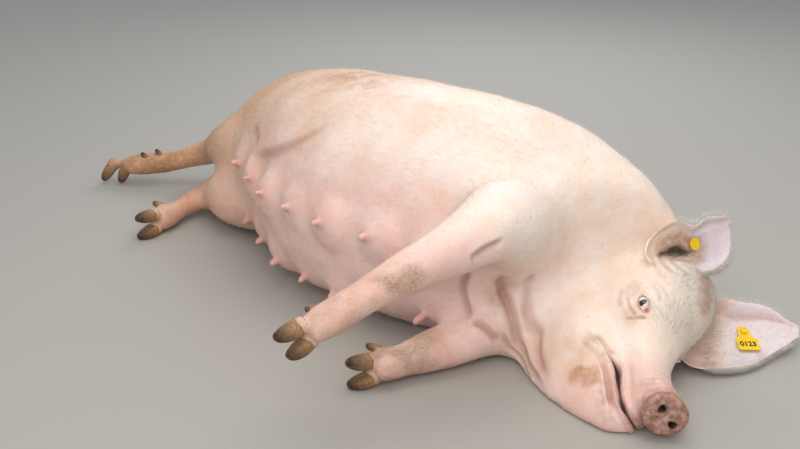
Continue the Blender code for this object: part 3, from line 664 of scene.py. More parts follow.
# The same in the head's own axes.
headFolds = {
    "earLow": (((46, -112, -14), (86, -106, -6), (116, -88, 6)), 3.2, 5.5, 0.6),
    "earMiddle": (((50, -102, 7), (88, -88, 17), (106, -64, 32)), 2.8, 5.5, 0.6),
    "earFar": (((66, -118, -28), (100, -110, -24), (132, -98, -14)), 1.8, 6, 0.6),
    "browNear": (((140, -115, -52), (160, -101, -40), (186, -82, -40)), 2.6, 4.2, 0.8),
    "browFar": (((132, -118, -44), (154, -106, -24), (184, -80, -22)), 1.8, 5, 0.8),
    "underEye": (((120, -122, -106), (140, -114, -124), (168, -102, -128)), 2.6, 6, 0.6),
    "pouch": (((146, -108, -104), (172, -98, -108), (200, -85, -102)), 3, 3.6, 0.8),
    "tear": (((206, -79, -86), (202, -86, -102), (194, -89, -124)), 3.6, 2.8, 0.6),
    "cornerHigh": (((214, -100, -190), (244, -90, -178), (274, -74, -166)), 4.2, 4.8, 0.7),
    "cornerLow": (((226, -104, -226), (258, -92, -206), (286, -76, -196)), 2.8, 4.8, 0.7),
    "cornerFar": (((200, -108, -210), (226, -100, -200), (250, -90, -188)), 2.6, 4.8, 0.7),
    "flews": (((290, -62, -152), (330, -53, -156), (376, -47, -166)), 1.4, 6, 0.5),
    "chin": (((276, -82, -198), (310, -70, -196), (345, -60, -200), (376, -52, -204), (406, -36, -208)),
        8.5, 4.2, 1.0),
    "rimNear": (((406, -50, -155), (411, -47, -120), (409, -32, -88), (407, 0, -78)), 5, 3.6, 0.7),
    "rimMiddle": (((388, -51, -142), (394, -48, -112), (390, -30, -88), (388, 0, -82)), 3.6, 4, 0.7),
    "rimFar": (((366, -52, -134), (372, -46, -108), (368, -26, -90), (366, 0, -86)), 2.6, 4.2, 0.7),
    "bridge": (((338, -46, -110), (342, -30, -92), (340, 0, -86)), 1.8, 4.5, 0.7),
}
# Where one form lies over another: the line, the way to the upper form, how far the lower one drops, and how
# far from the line the drop reaches.
steps = (
    ("groin", (-0.35, -0.15, 0.92), 0.014, 0.085),
    ("elbow", (0.30, -0.10, 0.95), 0.012, 0.035),
    ("chest", (0.90, 0.30, 0.00), 0.008, 0.030),
    ("jowl", (0.95, 0.10, 0.10), 0.008, 0.040),
)


def stepInto(points, normals, line, way, drop, reach):
    distance, along = lineDistance(points, line, None, 0.2)
    line = np.asarray(line, float)
    lengths = np.concatenate(([0], np.cumsum(np.linalg.norm(np.diff(line, axis=0), axis=1))))
    nearest = np.stack([np.interp(along * lengths[-1], lengths, line[:, k]) for k in range(3)], axis=1)
    signed = (points - nearest) @ unit(way)
    fade = step(0.0, 0.60, along) * step(1.0, 0.85, along) * np.exp(-((distance / reach) ** 2))
    return points - normals * (drop * fade * step(0.010, -0.010, signed))[:, None]


# Presses a line into the skin and lets it stand up a little on either side.
def foldInto(points, normals, line, depth, width, lip):
    distance, along = lineDistance(points, line)
    fade = step(0.0, 0.22, along) * step(1.0, 0.78, along)
    inward = np.exp(-((distance / width) ** 2)) - 0.5 * lip * np.exp(-(((distance - 2.2 * width) / width) ** 2))
    return points - normals * (depth * fade * inward)[:, None]


# Along the eye's opening, across it and out from its middle.
def fromEye(points, eye):
    relative = points - eye["middle"]
    return relative @ eye["long"], relative @ eye["up"], relative @ eye["out"]


# Skin drawn over the eyeball, open along an almond and creased round it.
def lidded(points, eye):
    radius, lid, half = (eyeLook[key] for key in ("radius", "lid", "half"))
    tall = eyeLook["tall"] * eye["open"]
    u, v, w = fromEye(points, eye)
    r = np.hypot(u, v)
    close = (r < 0.050) & (w > -0.016)
    if eye["open"] < 1:
        _, _, height = onEar(points, "left")
        close &= (np.abs(height) > 0.008) & (w < 0.030)
    over = np.sqrt(np.maximum((radius + lid) ** 2 - r**2, 0.0))
    raised = w + (np.maximum(over, w) - w) * step(0.022, 0.012, r)
    relief = 0.15 + 0.85 * eye["open"]
    for height, x, halfLong, y, halfTall in eyeLook["pads"]:
        raised = raised + height * relief * np.exp(-(((u - x) / halfLong) ** 2) - (((v - y) / halfTall) ** 2))
    ring = np.hypot(u / half, v / eyeLook["tall"])
    turn = np.arctan2(v, u)
    for place, depth, middle, spread in eyeLook["creases"]:
        off = np.abs((turn - middle + np.pi) % (2 * np.pi) - np.pi)
        wander = 0.10 * np.sin(3 * turn + 5 * place)
        here = step(spread, 0.5 * spread, off)
        raised = raised - relief * depth * np.exp(-(((ring - place - wander) / 0.15) ** 2)) * here
    middle = 0.0015 - 0.0012 * (u / half)
    shape = np.maximum(1 - np.abs(u / half) ** 2.4, 0.001) ** 0.8
    gap = 1 - np.abs(v - middle) / (tall * shape)
    gap = np.where(np.abs(u) < half, gap, -3)
    raised = raised + 0.0014 * np.exp(-(((gap + 0.20) / 0.20) ** 2))
    bottom = np.minimum(raised, radius - 0.0060)
    raised = raised + (bottom - raised) * step(-0.05, 0.12, gap)
    moved = points + eye["out"] * ((raised - w) * step(0.050, 0.040, r))[:, None]
    points[close] = moved[close]
    return points


def nostrilled(points):
    local = toHead(points)
    for place in nostrils:
        y, z = toHead(place[None])[0][1:]
        side = 1 if y > 0 else -1
        dy, dz = local[:, 1] - y, local[:, 2] - z
        turn = snoutLook["nostrilTurn"] * side
        along = dy * math.cos(turn) + dz * math.sin(turn)
        across = -dy * math.sin(turn) + dz * math.cos(turn)
        long, tall = snoutLook["nostril"]
        rho = np.hypot(along / long, (across + 0.10 * along) / tall)
        front = local[:, 0] > 0.425
        local[:, 0] -= np.where(front, snoutLook["nostrilDepth"] * step(1.05, 0.55, rho), 0)
        local[:, 0] += np.where(front, snoutLook["nostrilLip"] * np.exp(-(((rho - 1.55) / 0.35) ** 2)), 0)
    return local @ headAxes + headPoll


# Across and up on the snout's disc, as shares of its half width and height.
def onDisc(local):
    wide, tall = snoutLook["half"]
    return local[:, 1] / wide, (local[:, 2] - snoutLook["height"]) / tall


# The raised edge of the snout's disc, and the groove behind it.
def rimmed(points):
    local = toHead(points)
    dy, dz = onDisc(local)
    rho = np.hypot(dy, dz)
    out = np.stack((dy, dz), axis=1) / np.maximum(rho, 0.01)[:, None]
    on = (local[:, 0] > 0.34) & (rho < 1.5) & (local[:, 2] > -0.180)
    rise = np.zeros(len(points))
    for height, at in snoutLook["ridges"]:
        rise += height * np.exp(-(((local[:, 0] - at) / 0.006) ** 2))
    local[:, 1:] += out * np.where(on & (rho > 0.6), rise, 0)[:, None]
    edge, hollow = snoutLook["dish"]
    dish = edge * np.exp(-(((rho - 0.84) / 0.10) ** 2)) - hollow * step(0.75, 0.3, rho)
    front = on & (local[:, 0] > snoutLook["front"])
    local[:, 0] += np.where(front, dish, 0)
    for i in np.flatnonzero(front):
        local[i, 0] += snoutLook["grain"] * noise.noise((local[i, 1] * 75, local[i, 2] * 75, 4.0))
    return local @ headAxes + headPoll


# The slit between the lips, open in the middle of her right side, with full lips either side.
def lipped(points, normals):
    distance, along = lineDistance(points, mouthLine)
    gape, wide = (least + more * gapAlong(along) for least, more in (mouthLook["depth"], mouthLook["width"]))
    fade = step(0.0, 0.06, along) * step(1.0, 0.92, along)
    local = toHead(points)
    below = local[:, 2] < np.interp(local[:, 0], *lipTurn)
    lip = np.where(below, mouthLook["lowerLip"], mouthLook["upperLip"])
    lip = lip * np.exp(-(((distance - 0.0095) / 0.0050) ** 2))
    return points + normals * (fade * (lip - gape * np.exp(-((distance / wide) ** 2))))[:, None]


# Slight unevenness of fat and muscle under the skin.
def rumpled(points, normals):
    moved = np.empty(len(points))
    for i, (x, y, z) in enumerate(points):
        moved[i] = 0.0022 * noise.noise((x * 11, y * 11, z * 11)) + 0.0008 * noise.noise((x * 34, y * 34, z * 34))
    local = toHead(points)
    calm = 1 - 0.5 * step(0.10, 0.2, local[:, 0])
    return points + normals * (moved * calm)[:, None]


laidFolds = {}
for name, (line, depth, width, lip) in folds.items():
    laidFolds[name] = (*onSkin(curveThrough(inMetres(line), 16)), inMetres(depth), inMetres(width), lip)
for name, (_, depth, width, lip) in headFolds.items():
    for side, way in (("Right", (1, 1, 1)), ("Left", (1, -0.72, 1))):
        line = curveThrough(inMetres(headFolds[name][0]) * way, 12)
        laidFolds[name + side] = (*onSkin(fromHead(line)), inMetres(depth), inMetres(width), lip)

points, normals = coordsOf(skin.data), normalsOf(skin.data)
points = rumpled(points, normals)
points -= normals * skinLook["coat"]
for name, way, drop, reach in steps:
    points = stepInto(points, normals, laidFolds[name][0], way, drop, reach)
for line, _, depth, width, lip in laidFolds.values():
    points = foldInto(points, normals, line, depth, width, lip)
points = lipped(points, normals)
points = rimmed(points)
points = nostrilled(points)
for eye in eyes.values():
    points = lidded(points, eye)
putCoords(skin.data, boxed(points, 0.0004))
smoothed(skin, 0.5 * (1 - near(points, fromHead((0.33, 0, -0.14)), 0.20)), 2)
smoothed(skin, near(points, eyes["left"]["middle"], 0.040), 16)  # pressed flat under the ear's root

heavy = sum(len(face.vertices) - 2 for face in skin.data.polygons)
points = coordsOf(skin.data)
keep = near(points, fromHead((0.28, -0.03, -0.12)), 0.16)
for side in ears:
    keep = np.maximum(keep, 0.7 * near(points, earPoint(ears[side], 0.06, 0), 0.14))
for eye in eyes.values():
    keep = np.maximum(keep, near(points, eye["middle"], 0.05))
name = weighted(skin, "free", 1 - 0.85 * keep)
addModifier(skin, "DECIMATE", ratio=skinLook["triangles"] / heavy, vertex_group=name, vertex_group_factor=0.00002)
applied(skin)
skin.vertex_groups.clear()
skin.data.polygons.foreach_set("use_smooth", [True] * len(skin.data.polygons))
print("skin thinned", heavy, len(skin.data.polygons))


# Markings, the same for skin and coat: twelve of them, kept four by four in three colour layers.
markNames = {
    "marksOne": ("pink", "tan", "dirt", "dark"),
    "marksTwo": ("lips", "snout", "grey", "flush"),
    "marksThree": ("ear", "fold", "straw", "wet"),
}
# Stains: mark, strength, the axes they are in, places and radius in millimetres, softness and pattern.
stains = (
    ("pink", 0.7, "body", ((480, -60, 150), (420, -100, 120)), 70, 0.6, "even"),
    ("straw", 0.8, "head", ((270, -90, -230), (220, -110, -280)), 50, 0.6, "cheek"),
    ("tan", 0.75, "body", ((-113, 140, 476), (-50, 110, 485)), 70, 0.6, "scuffed"),
    ("tan", 0.55, "body", ((542, 6, 183), (536, 0, 150)), 30, 0.6, "even"),
    ("tan", 0.75, "head", ((317, -80, -228), (310, -86, -246)), 26, 0.2, "patchy"),
    ("tan", 0.75, "head", ((93, -27, 46), (120, -16, 36), (142, -4, 24)), 22, 0.6, "even"),
    ("tan", 0.6, "head", ((232, -98, -200), (252, -92, -186), (262, -88, -176)), 18, 0.6, "patchy"),
    ("tan", 0.4, "head", ((140, -112, -85), (190, -88, -108)), 22, 0.6, "even"),
    ("tan", 0.45, "body", ((585, -20, 100), (600, -30, 70)), 50, 0.6, "patchy"),
    ("tan", 0.5, "head", ((385, -45, -100), (395, -20, -85), (390, -48, -140), (390, 10, -85)), 24, 0.6, "patchy"),
    ("dirt", 0.95, "body", ((622, -330, 315), (612, -352, 312), (600, -378, 302)), 30, 0.6, "smeared"),
    ("dirt", 0.4, "body", ((-160, 100, 462), (-90, 150, 478), (-20, 120, 487), (30, 80, 490)), 45, 0.6, "flecked"),
    ("dirt", 0.5, "head", ((385, -50, -214), (405, -38, -222), (350, -66, -216)), 24, 0.6, "crusted"),
    ("grey", 0.8, "head", ((60, -30, 40), (110, -50, 0), (140, -30, -20), (190, -30, -40), (100, 0, 30)),
        50, 0.6, "even"),
)
tearLine = ((0.206, -0.079, -0.088), (0.202, -0.087, -0.104), (0.192, -0.090, -0.124))


def blob(points, places, radius, soft=0.6):
    made = np.zeros(len(points))
    for place in places:
        made = np.maximum(made, near(points, place, radius, soft))
    return made


def cloudy(points, scale, seed):
    return np.array([noise.noise((x * scale + seed, y * scale, z * scale)) for x, y, z in points]) * 0.5 + 0.5


# Shares from 0 to 1 of every mark at some places.
def markings(points):
    local = toHead(points)
    x, y, z = points.T
    lx, ly, lz = local.T
    inHead = step(-0.02, 0.08, lx) * step(0.56, 0.66, x)
    uneven, blotch, fleckle = cloudy(points, 9, 3.0), cloudy(points, 30, 9.0), cloudy(points, 75, 5.0)
    patchy = 0.35 + 0.65 * step(0.35, 0.62, blotch)
    patterns = {
        "even": 1.0,
        "patchy": patchy,
        "cheek": inHead * blotch,
        "scuffed": step(0.3, 0.8, blotch),
        "smeared": step(0.25, 0.6, blotch),
        "flecked": step(0.52, 0.70, fleckle),
        "crusted": step(0.25, 0.7, fleckle),
    }
    marks = {name: np.zeros(len(points)) for names in markNames.values() for name in names}

    def add(name, values):
        marks[name] = np.maximum(marks[name], values)

    belly = step(0.06, -0.12, y) * (1 - inHead) * step(0.46, 0.30, z)
    muzzle = inHead * (0.10 + 0.75 * step(0.24, 0.36, lx) + 0.25 * step(-0.20, -0.32, lz))
    add("pink", (0.14 + 0.80 * belly + 0.25 * step(0.25, 0.04, z)) * (1 - inHead) + muzzle)
    add("straw", step(0.30, -0.62, x + 0.40 * (uneven - 0.5)) * (1 - 0.5 * belly) + 0.22 * step(0.42, 0.50, z))
    add("straw", 0.45 * step(-0.20, -0.40, y) * (0.5 + 0.5 * uneven))
    for name, strength, axes, places, radius, soft, pattern in stains:
        spots = blob(local if axes == "head" else points, inMetres(places), inMetres(radius), soft)
        add(name, strength * spots * patterns[pattern])

    distance, _ = lineDistance(local, tearLine)
    add("tan", 0.85 * np.exp(-((distance / 0.0045) ** 2)))
    distance, _ = lineDistance(points, inMetres(folds["stifle"][0]))
    add("tan", 0.9 * np.exp(-((distance / 0.010) ** 2)))
    add("tan", 0.75 * step(-0.50, -0.72, x) * step(0.14, 0.04, y) * (0.5 + 0.5 * blotch))
    foreLeft = (x > 0.3) * step(0.15, 0.10, z) * step(-0.09, -0.17, y) * (x < 0.62) * (y > -0.36)
    add("tan", 0.60 * foreLeft * (0.35 + 0.65 * blotch))
    add("dirt", 0.70 * foreLeft * (0.15 + 0.85 * step(0.35, 0.6, blotch)))
    add("dirt", 0.80 * step(-0.56, -0.72, x) * step(0.12, 0.02, y) * patchy)
    add("dirt", 0.45 * (x > 0.3) * step(-0.36, -0.46, y) * patchy)
    add("dirt", 0.60 * step(-0.08, -0.18, y) * (x < -0.3) * step(0.14, 0.08, z) * patchy)
    add("dirt", 0.55 * step(0.022, 0.002, z) * patchy)

    # The hollow of the right ear: painted shade, brown over the cup and darker in its middle.
    along, across, height = onEar(points, "right")
    front = (height > 0) * step(0.016, 0.010, height)
    pit = np.hypot((along - 0.36) / 0.20, (across - 0.47) / 0.34)
    add("tan", front * step(1.25, 0.70, pit) * (0.70 + 0.30 * blotch))
    add("dark", 0.28 * front * step(1.1, 0.3, np.hypot((along - 0.27) / 0.11, (across - 0.41) / 0.13)))

    # Lips, and painted shade in the slit and in the nostrils.
    distance, along = lineDistance(points, mouthLine, mouthFacing)
    lips = step(0.020, 0.012, distance) * step(0.05, 0.16, along) * step(1.0, 0.9, along)
    lips = np.maximum(lips, 0.40 * inHead * step(0.27, 0.36, lx) * (0.4 + 0.6 * blotch))
    add("lips", lips * np.where(lz < np.interp(lx, *lipTurn), 1, 0.60))
    reach = distance / (0.0018 + 0.0028 * gapAlong(along))
    add("dark", 0.92 * step(1.25, 0.6, reach) * step(0.02, 0.10, along) * step(1.0, 0.93, along))
    for place in nostrils:
        off = (local - toHead(place[None])[0] + (0.006, 0, 0)) * (0.55, 1, 1)
        add("dark", 0.92 * step(0.0115, 0.0065, np.linalg.norm(off, axis=1)))

    # The snout's disc, browner round its lower rim.
    add("snout", step(0.400, snoutLook["front"], lx) * step(-0.200, -0.180, lz) * inHead)
    rho = np.hypot(*onDisc(local))
    lowerSide = step(-0.6, 0.6, np.cos(np.arctan2(lz - snoutLook["height"], ly) - 0.8))
    marks["tan"] *= 1 - marks["snout"]
    add("tan", np.exp(-(((rho - 0.97) / 0.12) ** 2)) * marks["snout"] * lowerSide)

    for eye in eyes.values():
        u, v, w = fromEye(points, eye)
        ahead = w > -0.004
        ring = np.hypot(u / eyeLook["half"], v / eyeLook["tall"])
        add("flush", step(0.0065, 0.0035, np.hypot(u - 0.0165, v - 0.001)) * ahead * eye["open"])
        add("flush", 0.50 * np.exp(-(((ring - 1.0) / 0.22) ** 2)) * ahead * eye["open"])
        add("tan", 0.30 * np.exp(-(((ring - 1.6) / 0.35) ** 2)) * ahead)
        # Painted shadow of the lids along the rim of the opening, fading towards its front corner.
        add("dark", 0.60 * np.exp(-(((ring - 0.93) / 0.10) ** 2)) * ahead * step(0.018, -0.004, u))
    add("flush", 0.30 * blob(points, [base for _, base in teats], 0.018))

    for side, (low, high) in (("right", (0.28, 0.50)), ("left", (0.30, 0.45))):
        along, _, height = onEar(points, side)
        add("ear", step(low, high, along) * step(0.016, 0.010, np.abs(height)))
    # Painted shade in the creases, darker where a crease is deeper.
    for name, (line, facing, depth, width, _) in laidFolds.items():
        distance, along = lineDistance(points, line, facing)
        here = np.exp(-((distance / (1.2 * width)) ** 2)) * step(0.0, 0.2, along) * step(1.0, 0.8, along)
        add("fold", here * min(depth / (0.010 if name in folds else 0.006), 1))
    # Painted shade on the left ear: a line along the groove under its upper rim, and over its root.
    along, across, height = onEar(points, "left")
    close = (np.abs(height) < 0.014) * (height > 0)
    add("fold", close * 0.75 * np.exp(-(((across - 0.85) / 0.05) ** 2)) * step(0.25, 0.4, along))
    add("fold", close * 0.85 * step(0.42, 0.24, along))
    add("wet", 0.8 * np.maximum(marks["snout"], marks["lips"]))
    return [np.clip(np.stack([marks[name] for name in names], axis=1), 0, 1) for names in markNames.values()]


def paint(mesh, perVertex):
    for name, values in zip(markNames, perVertex):
        layer = mesh.attributes.new(name, "FLOAT_COLOR", "POINT")
        layer.data.foreach_set("color", np.ascontiguousarray(values, dtype=np.float32).ravel())


skinPoints = coordsOf(skin.data)
skinMarks = markings(skinPoints)
paint(skin.data, skinMarks)
print("skin marked")


# An sRGB hex value as the linear colour that a shader takes.
def hexColour(code):
    parts = [int(code[i : i + 2], 16) / 255 for i in (1, 3, 5)]
    return tuple(p / 12.92 if p <= 0.04045 else ((p + 0.055) / 1.055) ** 2.4 for p in parts) + (1.0,)


def newMaterial(name, fixed):
    material = bpy.data.materials.new(name)
    material.use_nodes = True
    tree = material.node_tree
    shader = tree.nodes["Principled BSDF"]
    for key, value in fixed.items():
        shader.inputs[key].default_value = value
    return material, tree, shader


# Adds a node with its settings and its inputs, each a value or a socket to link, and gives one output.
def addNode(tree, kind, inputs=None, output=0, **settings):
    node = tree.nodes.new(kind)
    for key, value in settings.items():
        setattr(node, key, value)
    for key, value in (inputs or {}).items():
        if isinstance(value, bpy.types.NodeSocket):
            tree.links.new(value, node.inputs[key])
        else:
            node.inputs[key].default_value = value
    return node.outputs[output]


# Cloudy patches about so many metres across; between two limits they go from none to full.
def mottle(tree, place, size, limits=None, detail=3.0, rough=0.55, stretch=None):
    if stretch:
        place = addNode(tree, "ShaderNodeMapping", {"Vector": place, "Scale": stretch})
    inputs = {"Vector": place, "Scale": 1 / size, "Detail": detail, "Roughness": rough}
    made = addNode(tree, "ShaderNodeTexNoise", inputs)
    if limits:
        made = addNode(tree, "ShaderNodeMapRange", {"Value": made, "From Min": limits[0], "From Max": limits[1]})
    return made


# Lays a colour over another where a mark says, up to a strength, whole or broken up by a pattern.
def stained(tree, base, colour, strength, where, pattern=None):
    share = addNode(tree, "ShaderNodeMath", {0: where, 1: strength}, operation="MULTIPLY")
    if pattern:
        share = addNode(tree, "ShaderNodeMath", {0: share, 1: pattern}, operation="MULTIPLY", use_clamp=True)
    return addNode(tree, "ShaderNodeMix", {0: share, 6: base, 7: colour}, output=2, data_type="RGBA")


def marksIn(tree):
    found = {}
    for layer, names in markNames.items():
        colour = addNode(tree, "ShaderNodeAttribute", output="Color", attribute_name=layer)
        split = addNode(tree, "ShaderNodeSeparateColor", {0: colour})
        found.update(zip(names, [*split.node.outputs, colour.node.outputs["Alpha"]]))
    return found


skinColours = {
    "cream": "#efd9c2",
    "pale": "#f5e9e1",
    "pink": "#f0bfb2",
    "straw": "#c5823c",
    "tan": "#b0733c",
    "dirt": "#6f5334",
    "greenDirt": "#7d7448",
    # painted shade: in the slit between the lips, the nostrils, the right ear's hole and along the lids
    "dark": "#1c110f",
    "lip": "#c08f87",
    "snout": "#b07f69",
    "snoutPale": "#dab8aa",
    "snoutDark": "#7c503e",
    "flush": "#b8473c",
    "grey": "#dcd6cf",
    "ear": "#eadbe2",
    # painted shade in creases
    "fold": "#b27f6b",
    "fleck": "#4a3428",
}
# One over another: the colour, its strength, the mark or pattern it follows and the grain it breaks up in.
skinLayers = (
    ("pink", 0.85, "pink", None),
    ("pale", 0.30, "middle", None),
    ("straw", 0.95, "straw", "strawGrain"),
    ("tan", 0.16, "freckle", None),
    ("grey", 0.60, "grey", None),
    ("ear", 0.80, "ear", None),
    # painted shade in creases
    ("fold", 0.58, "fold", None),
    ("tan", 0.95, "tan", "tanGrain"),
    ("soil", 1.00, "dirt", "dirtGrain"),
    ("lip", 0.85, "lips", "tanGrain"),
    ("disc", 0.90, "snout", None),
    ("flush", 0.85, "flush", None),
    # painted shade in the slit, the nostrils, the right ear's hole and along the lids
    ("dark", 1.00, "dark", None),
    ("fleck", 0.70, "dot", None),
)
skinSheen = {
    "Subsurface Weight": 0.18,
    "Subsurface Radius": (1.0, 0.42, 0.25),
    "Subsurface Scale": 0.008,
    "Specular IOR Level": 0.40,
}


def skinMaterial():
    # Living pig skin: thin, faintly shining, blood and fat showing through. Crossed wrinkles 6 to 16 mm apart and
    # pores 3 mm apart, drawn coarser than life so that they show.
    material, tree, shader = newMaterial("pigSkin", skinSheen)
    place = addNode(tree, "ShaderNodeTexCoord", output="Object")
    colour = {key: hexColour(code) for key, code in skinColours.items()}
    where = marksIn(tree)
    small = mottle(tree, place, 0.012, (0.35, 0.70), 4.0, 0.65)
    where["middle"] = mottle(tree, place, 0.040, (0.35, 0.70), 4.0)
    where["freckle"] = mottle(tree, place, 0.0065, (0.60, 0.72), 3.0, 0.7)
    speckle = mottle(tree, place, 0.0050, (0.44, 0.60), 4.0, 0.7)
    grains = {"strawGrain": (small, 0.35, 0.60), "tanGrain": (small, 0.55, 0.45), "dirtGrain": (speckle, 0.40, 0.34)}
    for name, (grain, gain, least) in grains.items():
        where[name] = addNode(tree, "ShaderNodeMath", {0: grain, 1: gain, 2: least}, operation="MULTIPLY_ADD")

    # Rare dark dots, one in four of cells 55 mm across.
    cells = addNode(tree, "ShaderNodeTexVoronoi", {"Vector": place, "Scale": 1 / 0.055}, output="Distance")
    chance = addNode(tree, "ShaderNodeSeparateColor", {0: cells.node.outputs["Color"]})
    rare = addNode(tree, "ShaderNodeMath", {0: chance, 1: 0.72}, operation="GREATER_THAN")
    inDot = addNode(tree, "ShaderNodeMath", {0: cells, 1: 0.030}, operation="LESS_THAN")
    where["dot"] = addNode(tree, "ShaderNodeMath", {0: inDot, 1: rare}, operation="MULTIPLY")

    soilMix = {0: mottle(tree, place, 0.05, (0.4, 0.6)), 6: colour["dirt"], 7: colour["greenDirt"]}
    colour["soil"] = addNode(tree, "ShaderNodeMix", soilMix, output=2, data_type="RGBA")
    discMix = {0: small, 6: colour["snoutDark"], 7: colour["snout"]}
    disc = addNode(tree, "ShaderNodeMix", discMix, output=2, data_type="RGBA")
    disc = stained(tree, disc, colour["snoutPale"], 0.7, mottle(tree, place, 0.024, (0.46, 0.68), 5.0, 0.65))
    colour["disc"] = stained(tree, disc, colour["tan"], 0.75, where["tan"])
    broad = {0: mottle(tree, place, 0.16, (0.35, 0.68)), 6: colour["cream"], 7: colour["pale"]}
    base = addNode(tree, "ShaderNodeMix", broad, output=2, data_type="RGBA")
    for name, strength, mark, grain in skinLayers:
        base = stained(tree, base, colour[name], strength, where[mark], where[grain] if grain else None)
    tree.links.new(base, shader.inputs["Base Color"])

    fine = mottle(tree, place, 0.004)
    rough = addNode(tree, "ShaderNodeMath", {0: fine, 1: 0.20, 2: 0.40}, operation="MULTIPLY_ADD")
    rough = addNode(tree, "ShaderNodeMath", {0: where["wet"], 1: -0.20, 2: rough}, operation="MULTIPLY_ADD")
    tree.links.new(rough, shader.inputs["Roughness"])

    wrinkle = mottle(tree, place, 0.016, None, 5.0, 0.62, (1.0, 0.5, 0.5))
    crepe = mottle(tree, place, 0.006, None, 4.0, 0.6, (0.5, 1.0, 1.0))
    pores = addNode(tree, "ShaderNodeTexVoronoi", {"Vector": place, "Scale": 1 / 0.0032}, feature="SMOOTH_F1")
    warts = addNode(tree, "ShaderNodeMath", {0: small, 1: where["snout"]}, operation="MULTIPLY")
    height = 0.0
    for pattern, weight in ((wrinkle, 1.3), (pores, 0.40), (crepe, 0.5), (warts, 1.2)):
        height = addNode(tree, "ShaderNodeMath", {0: pattern, 1: weight, 2: height}, operation="MULTIPLY_ADD")
    bump = addNode(tree, "ShaderNodeBump", {"Strength": 0.55, "Distance": 0.0020, "Height": height})
    tree.links.new(bump, shader.inputs["Normal"])
    return material


skin.data.materials.clear()
skin.data.materials.append(skinMaterial())
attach(skin, "root")
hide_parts(*skinNodes)

# Rings of the eyeball: where each begins and is full, as an angle from the middle of the gaze, and its colour.
eyeRings = ((0.40, 0.45, "#24170f"), (0.86, 0.94, "#e6ded8"), (1.25, 1.55, "#a8564a"))


def eyeMaterial(name):
    # A wet eyeball: black pupil, dark brown iris that nearly fills the opening, off-white and then red round it,
    # under a clear coat of tears.
    material, tree, shader = newMaterial(name, {"Roughness": 0.18, "Coat Weight": 1.0, "Coat Roughness": 0.02})
    angle = addNode(tree, "ShaderNodeAttribute", output="Fac", attribute_name="gaze")
    base = hexColour("#040303")
    for begins, full, code in eyeRings:
        share = addNode(tree, "ShaderNodeMapRange", {"Value": angle, "From Min": begins, "From Max": full})
        base = addNode(tree, "ShaderNodeMix", {0: share, 6: base, 7: hexColour(code)}, output=2, data_type="RGBA")
    tree.links.new(base, shader.inputs["Base Color"])
    return material


for side, eye in eyes.items():
    back, down = eyeLook["gaze"]
    gaze = unit(eye["out"] - back * eye["long"] - down * eye["up"])
    mesh = ballMesh("eye" + side, 64, 40, eyeLook["radius"], turnedTo(eye["middle"], gaze))
    ball = newObject("eye" + side.capitalize(), mesh)
    spots = coordsOf(mesh)
    angle = np.arccos(np.clip(unit(spots - eye["middle"]) @ gaze, -1, 1))
    bulge = eyeLook["cornea"] * np.exp(-((angle / 0.42) ** 2))
    putCoords(mesh, spots + unit(spots - eye["middle"]) * (bulge - eyeLook["cornea"])[:, None])
    addLayer(mesh, "gaze", angle)
    mesh.materials.append(eyeMaterial("wetEye" + side.capitalize()))
    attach(ball, "root")
    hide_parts("eye_" + side)
print("eyes made")

def hornMaterial():
    # Hoof horn: dull, ridged across every 5 mm or so, tan at the heel and darker red-brown towards the tip.
    material, tree, shader = newMaterial("hoofHorn", {"Roughness": 0.55})
    place = addNode(tree, "ShaderNodeTexCoord", output="Object")
    share = addNode(tree, "ShaderNodeAttribute", output="Fac", attribute_name="length")
    cloud = mottle(tree, place, 0.012, None, 4.0)
    wandering = addNode(tree, "ShaderNodeMath", {0: cloud, 1: 0.5, 2: share}, operation="MULTIPLY_ADD")
    toTip = addNode(tree, "ShaderNodeMapRange", {"Value": wandering, "From Min": 0.45, "From Max": 1.15})
    base = stained(tree, hexColour(clawLook["heel"]), hexColour(clawLook["tip"]), 1.0, toTip)
    base = stained(tree, base, hexColour(clawLook["soil"]), 1.0, mottle(tree, place, 0.005, (0.5, 0.65)))
    tree.links.new(base, shader.inputs["Base Color"])
    along = addNode(tree, "ShaderNodeCombineXYZ", {0: share})
    ridge = addNode(tree, "ShaderNodeTexWave", {"Vector": along, "Scale": 5.0, "Distortion": 0.6}, output=1)
    height = addNode(tree, "ShaderNodeMath", {0: ridge, 1: 0.5, 2: cloud}, operation="MULTIPLY_ADD")
    bump = addNode(tree, "ShaderNodeBump", {"Strength": 0.5, "Distance": 0.0008, "Height": height})
    tree.links.new(bump, shader.inputs["Normal"])
    return material


# A claw with a flat sole and a flat side towards its neighbour.
def clawMesh(name, place, toes, across, size, way):
    length, height, width = size
    toes = unit(toes)
    sole = unit(np.cross(toes, across))
    side = np.cross(sole, toes)
    rows = curveThrough(clawLook["shape"], clawLook["rings"])
    sides = clawLook["sides"]
    turns = np.linspace(0, 2 * np.pi, sides, endpoint=False)
    c, s = np.cos(turns), np.sin(turns)
    up = np.sign(c) * np.abs(c) ** np.where(c > 0, 0.95, 0.55)
    out = np.sign(s) * np.abs(s) ** np.where(s * way > 0, 0.9, 0.6) * np.where(s * way > 0, 1.0, 0.86)
    points = []
    for share, drop, tall, wide in rows:
        centre = place + toes * share * length + sole * drop * height
        points.extend(centre - sole * (up * tall * height)[:, None] + side * (out * wide * width)[:, None])
    points = np.array(points)
    points[:, 2] = np.maximum(points[:, 2], clawLook["offFloor"])
    index = np.arange(len(points)).reshape(-1, sides)
    turned = np.roll(index, -1, axis=1)
    quads = np.stack((index[:-1], turned[:-1], turned[1:], index[1:]), axis=2).reshape(-1, 4)
    mesh = meshFrom(name, points, [*quads, index[0, ::-1], index[-1]])
    addLayer(mesh, "length", np.repeat(rows[:, 0], sides))
    return mesh


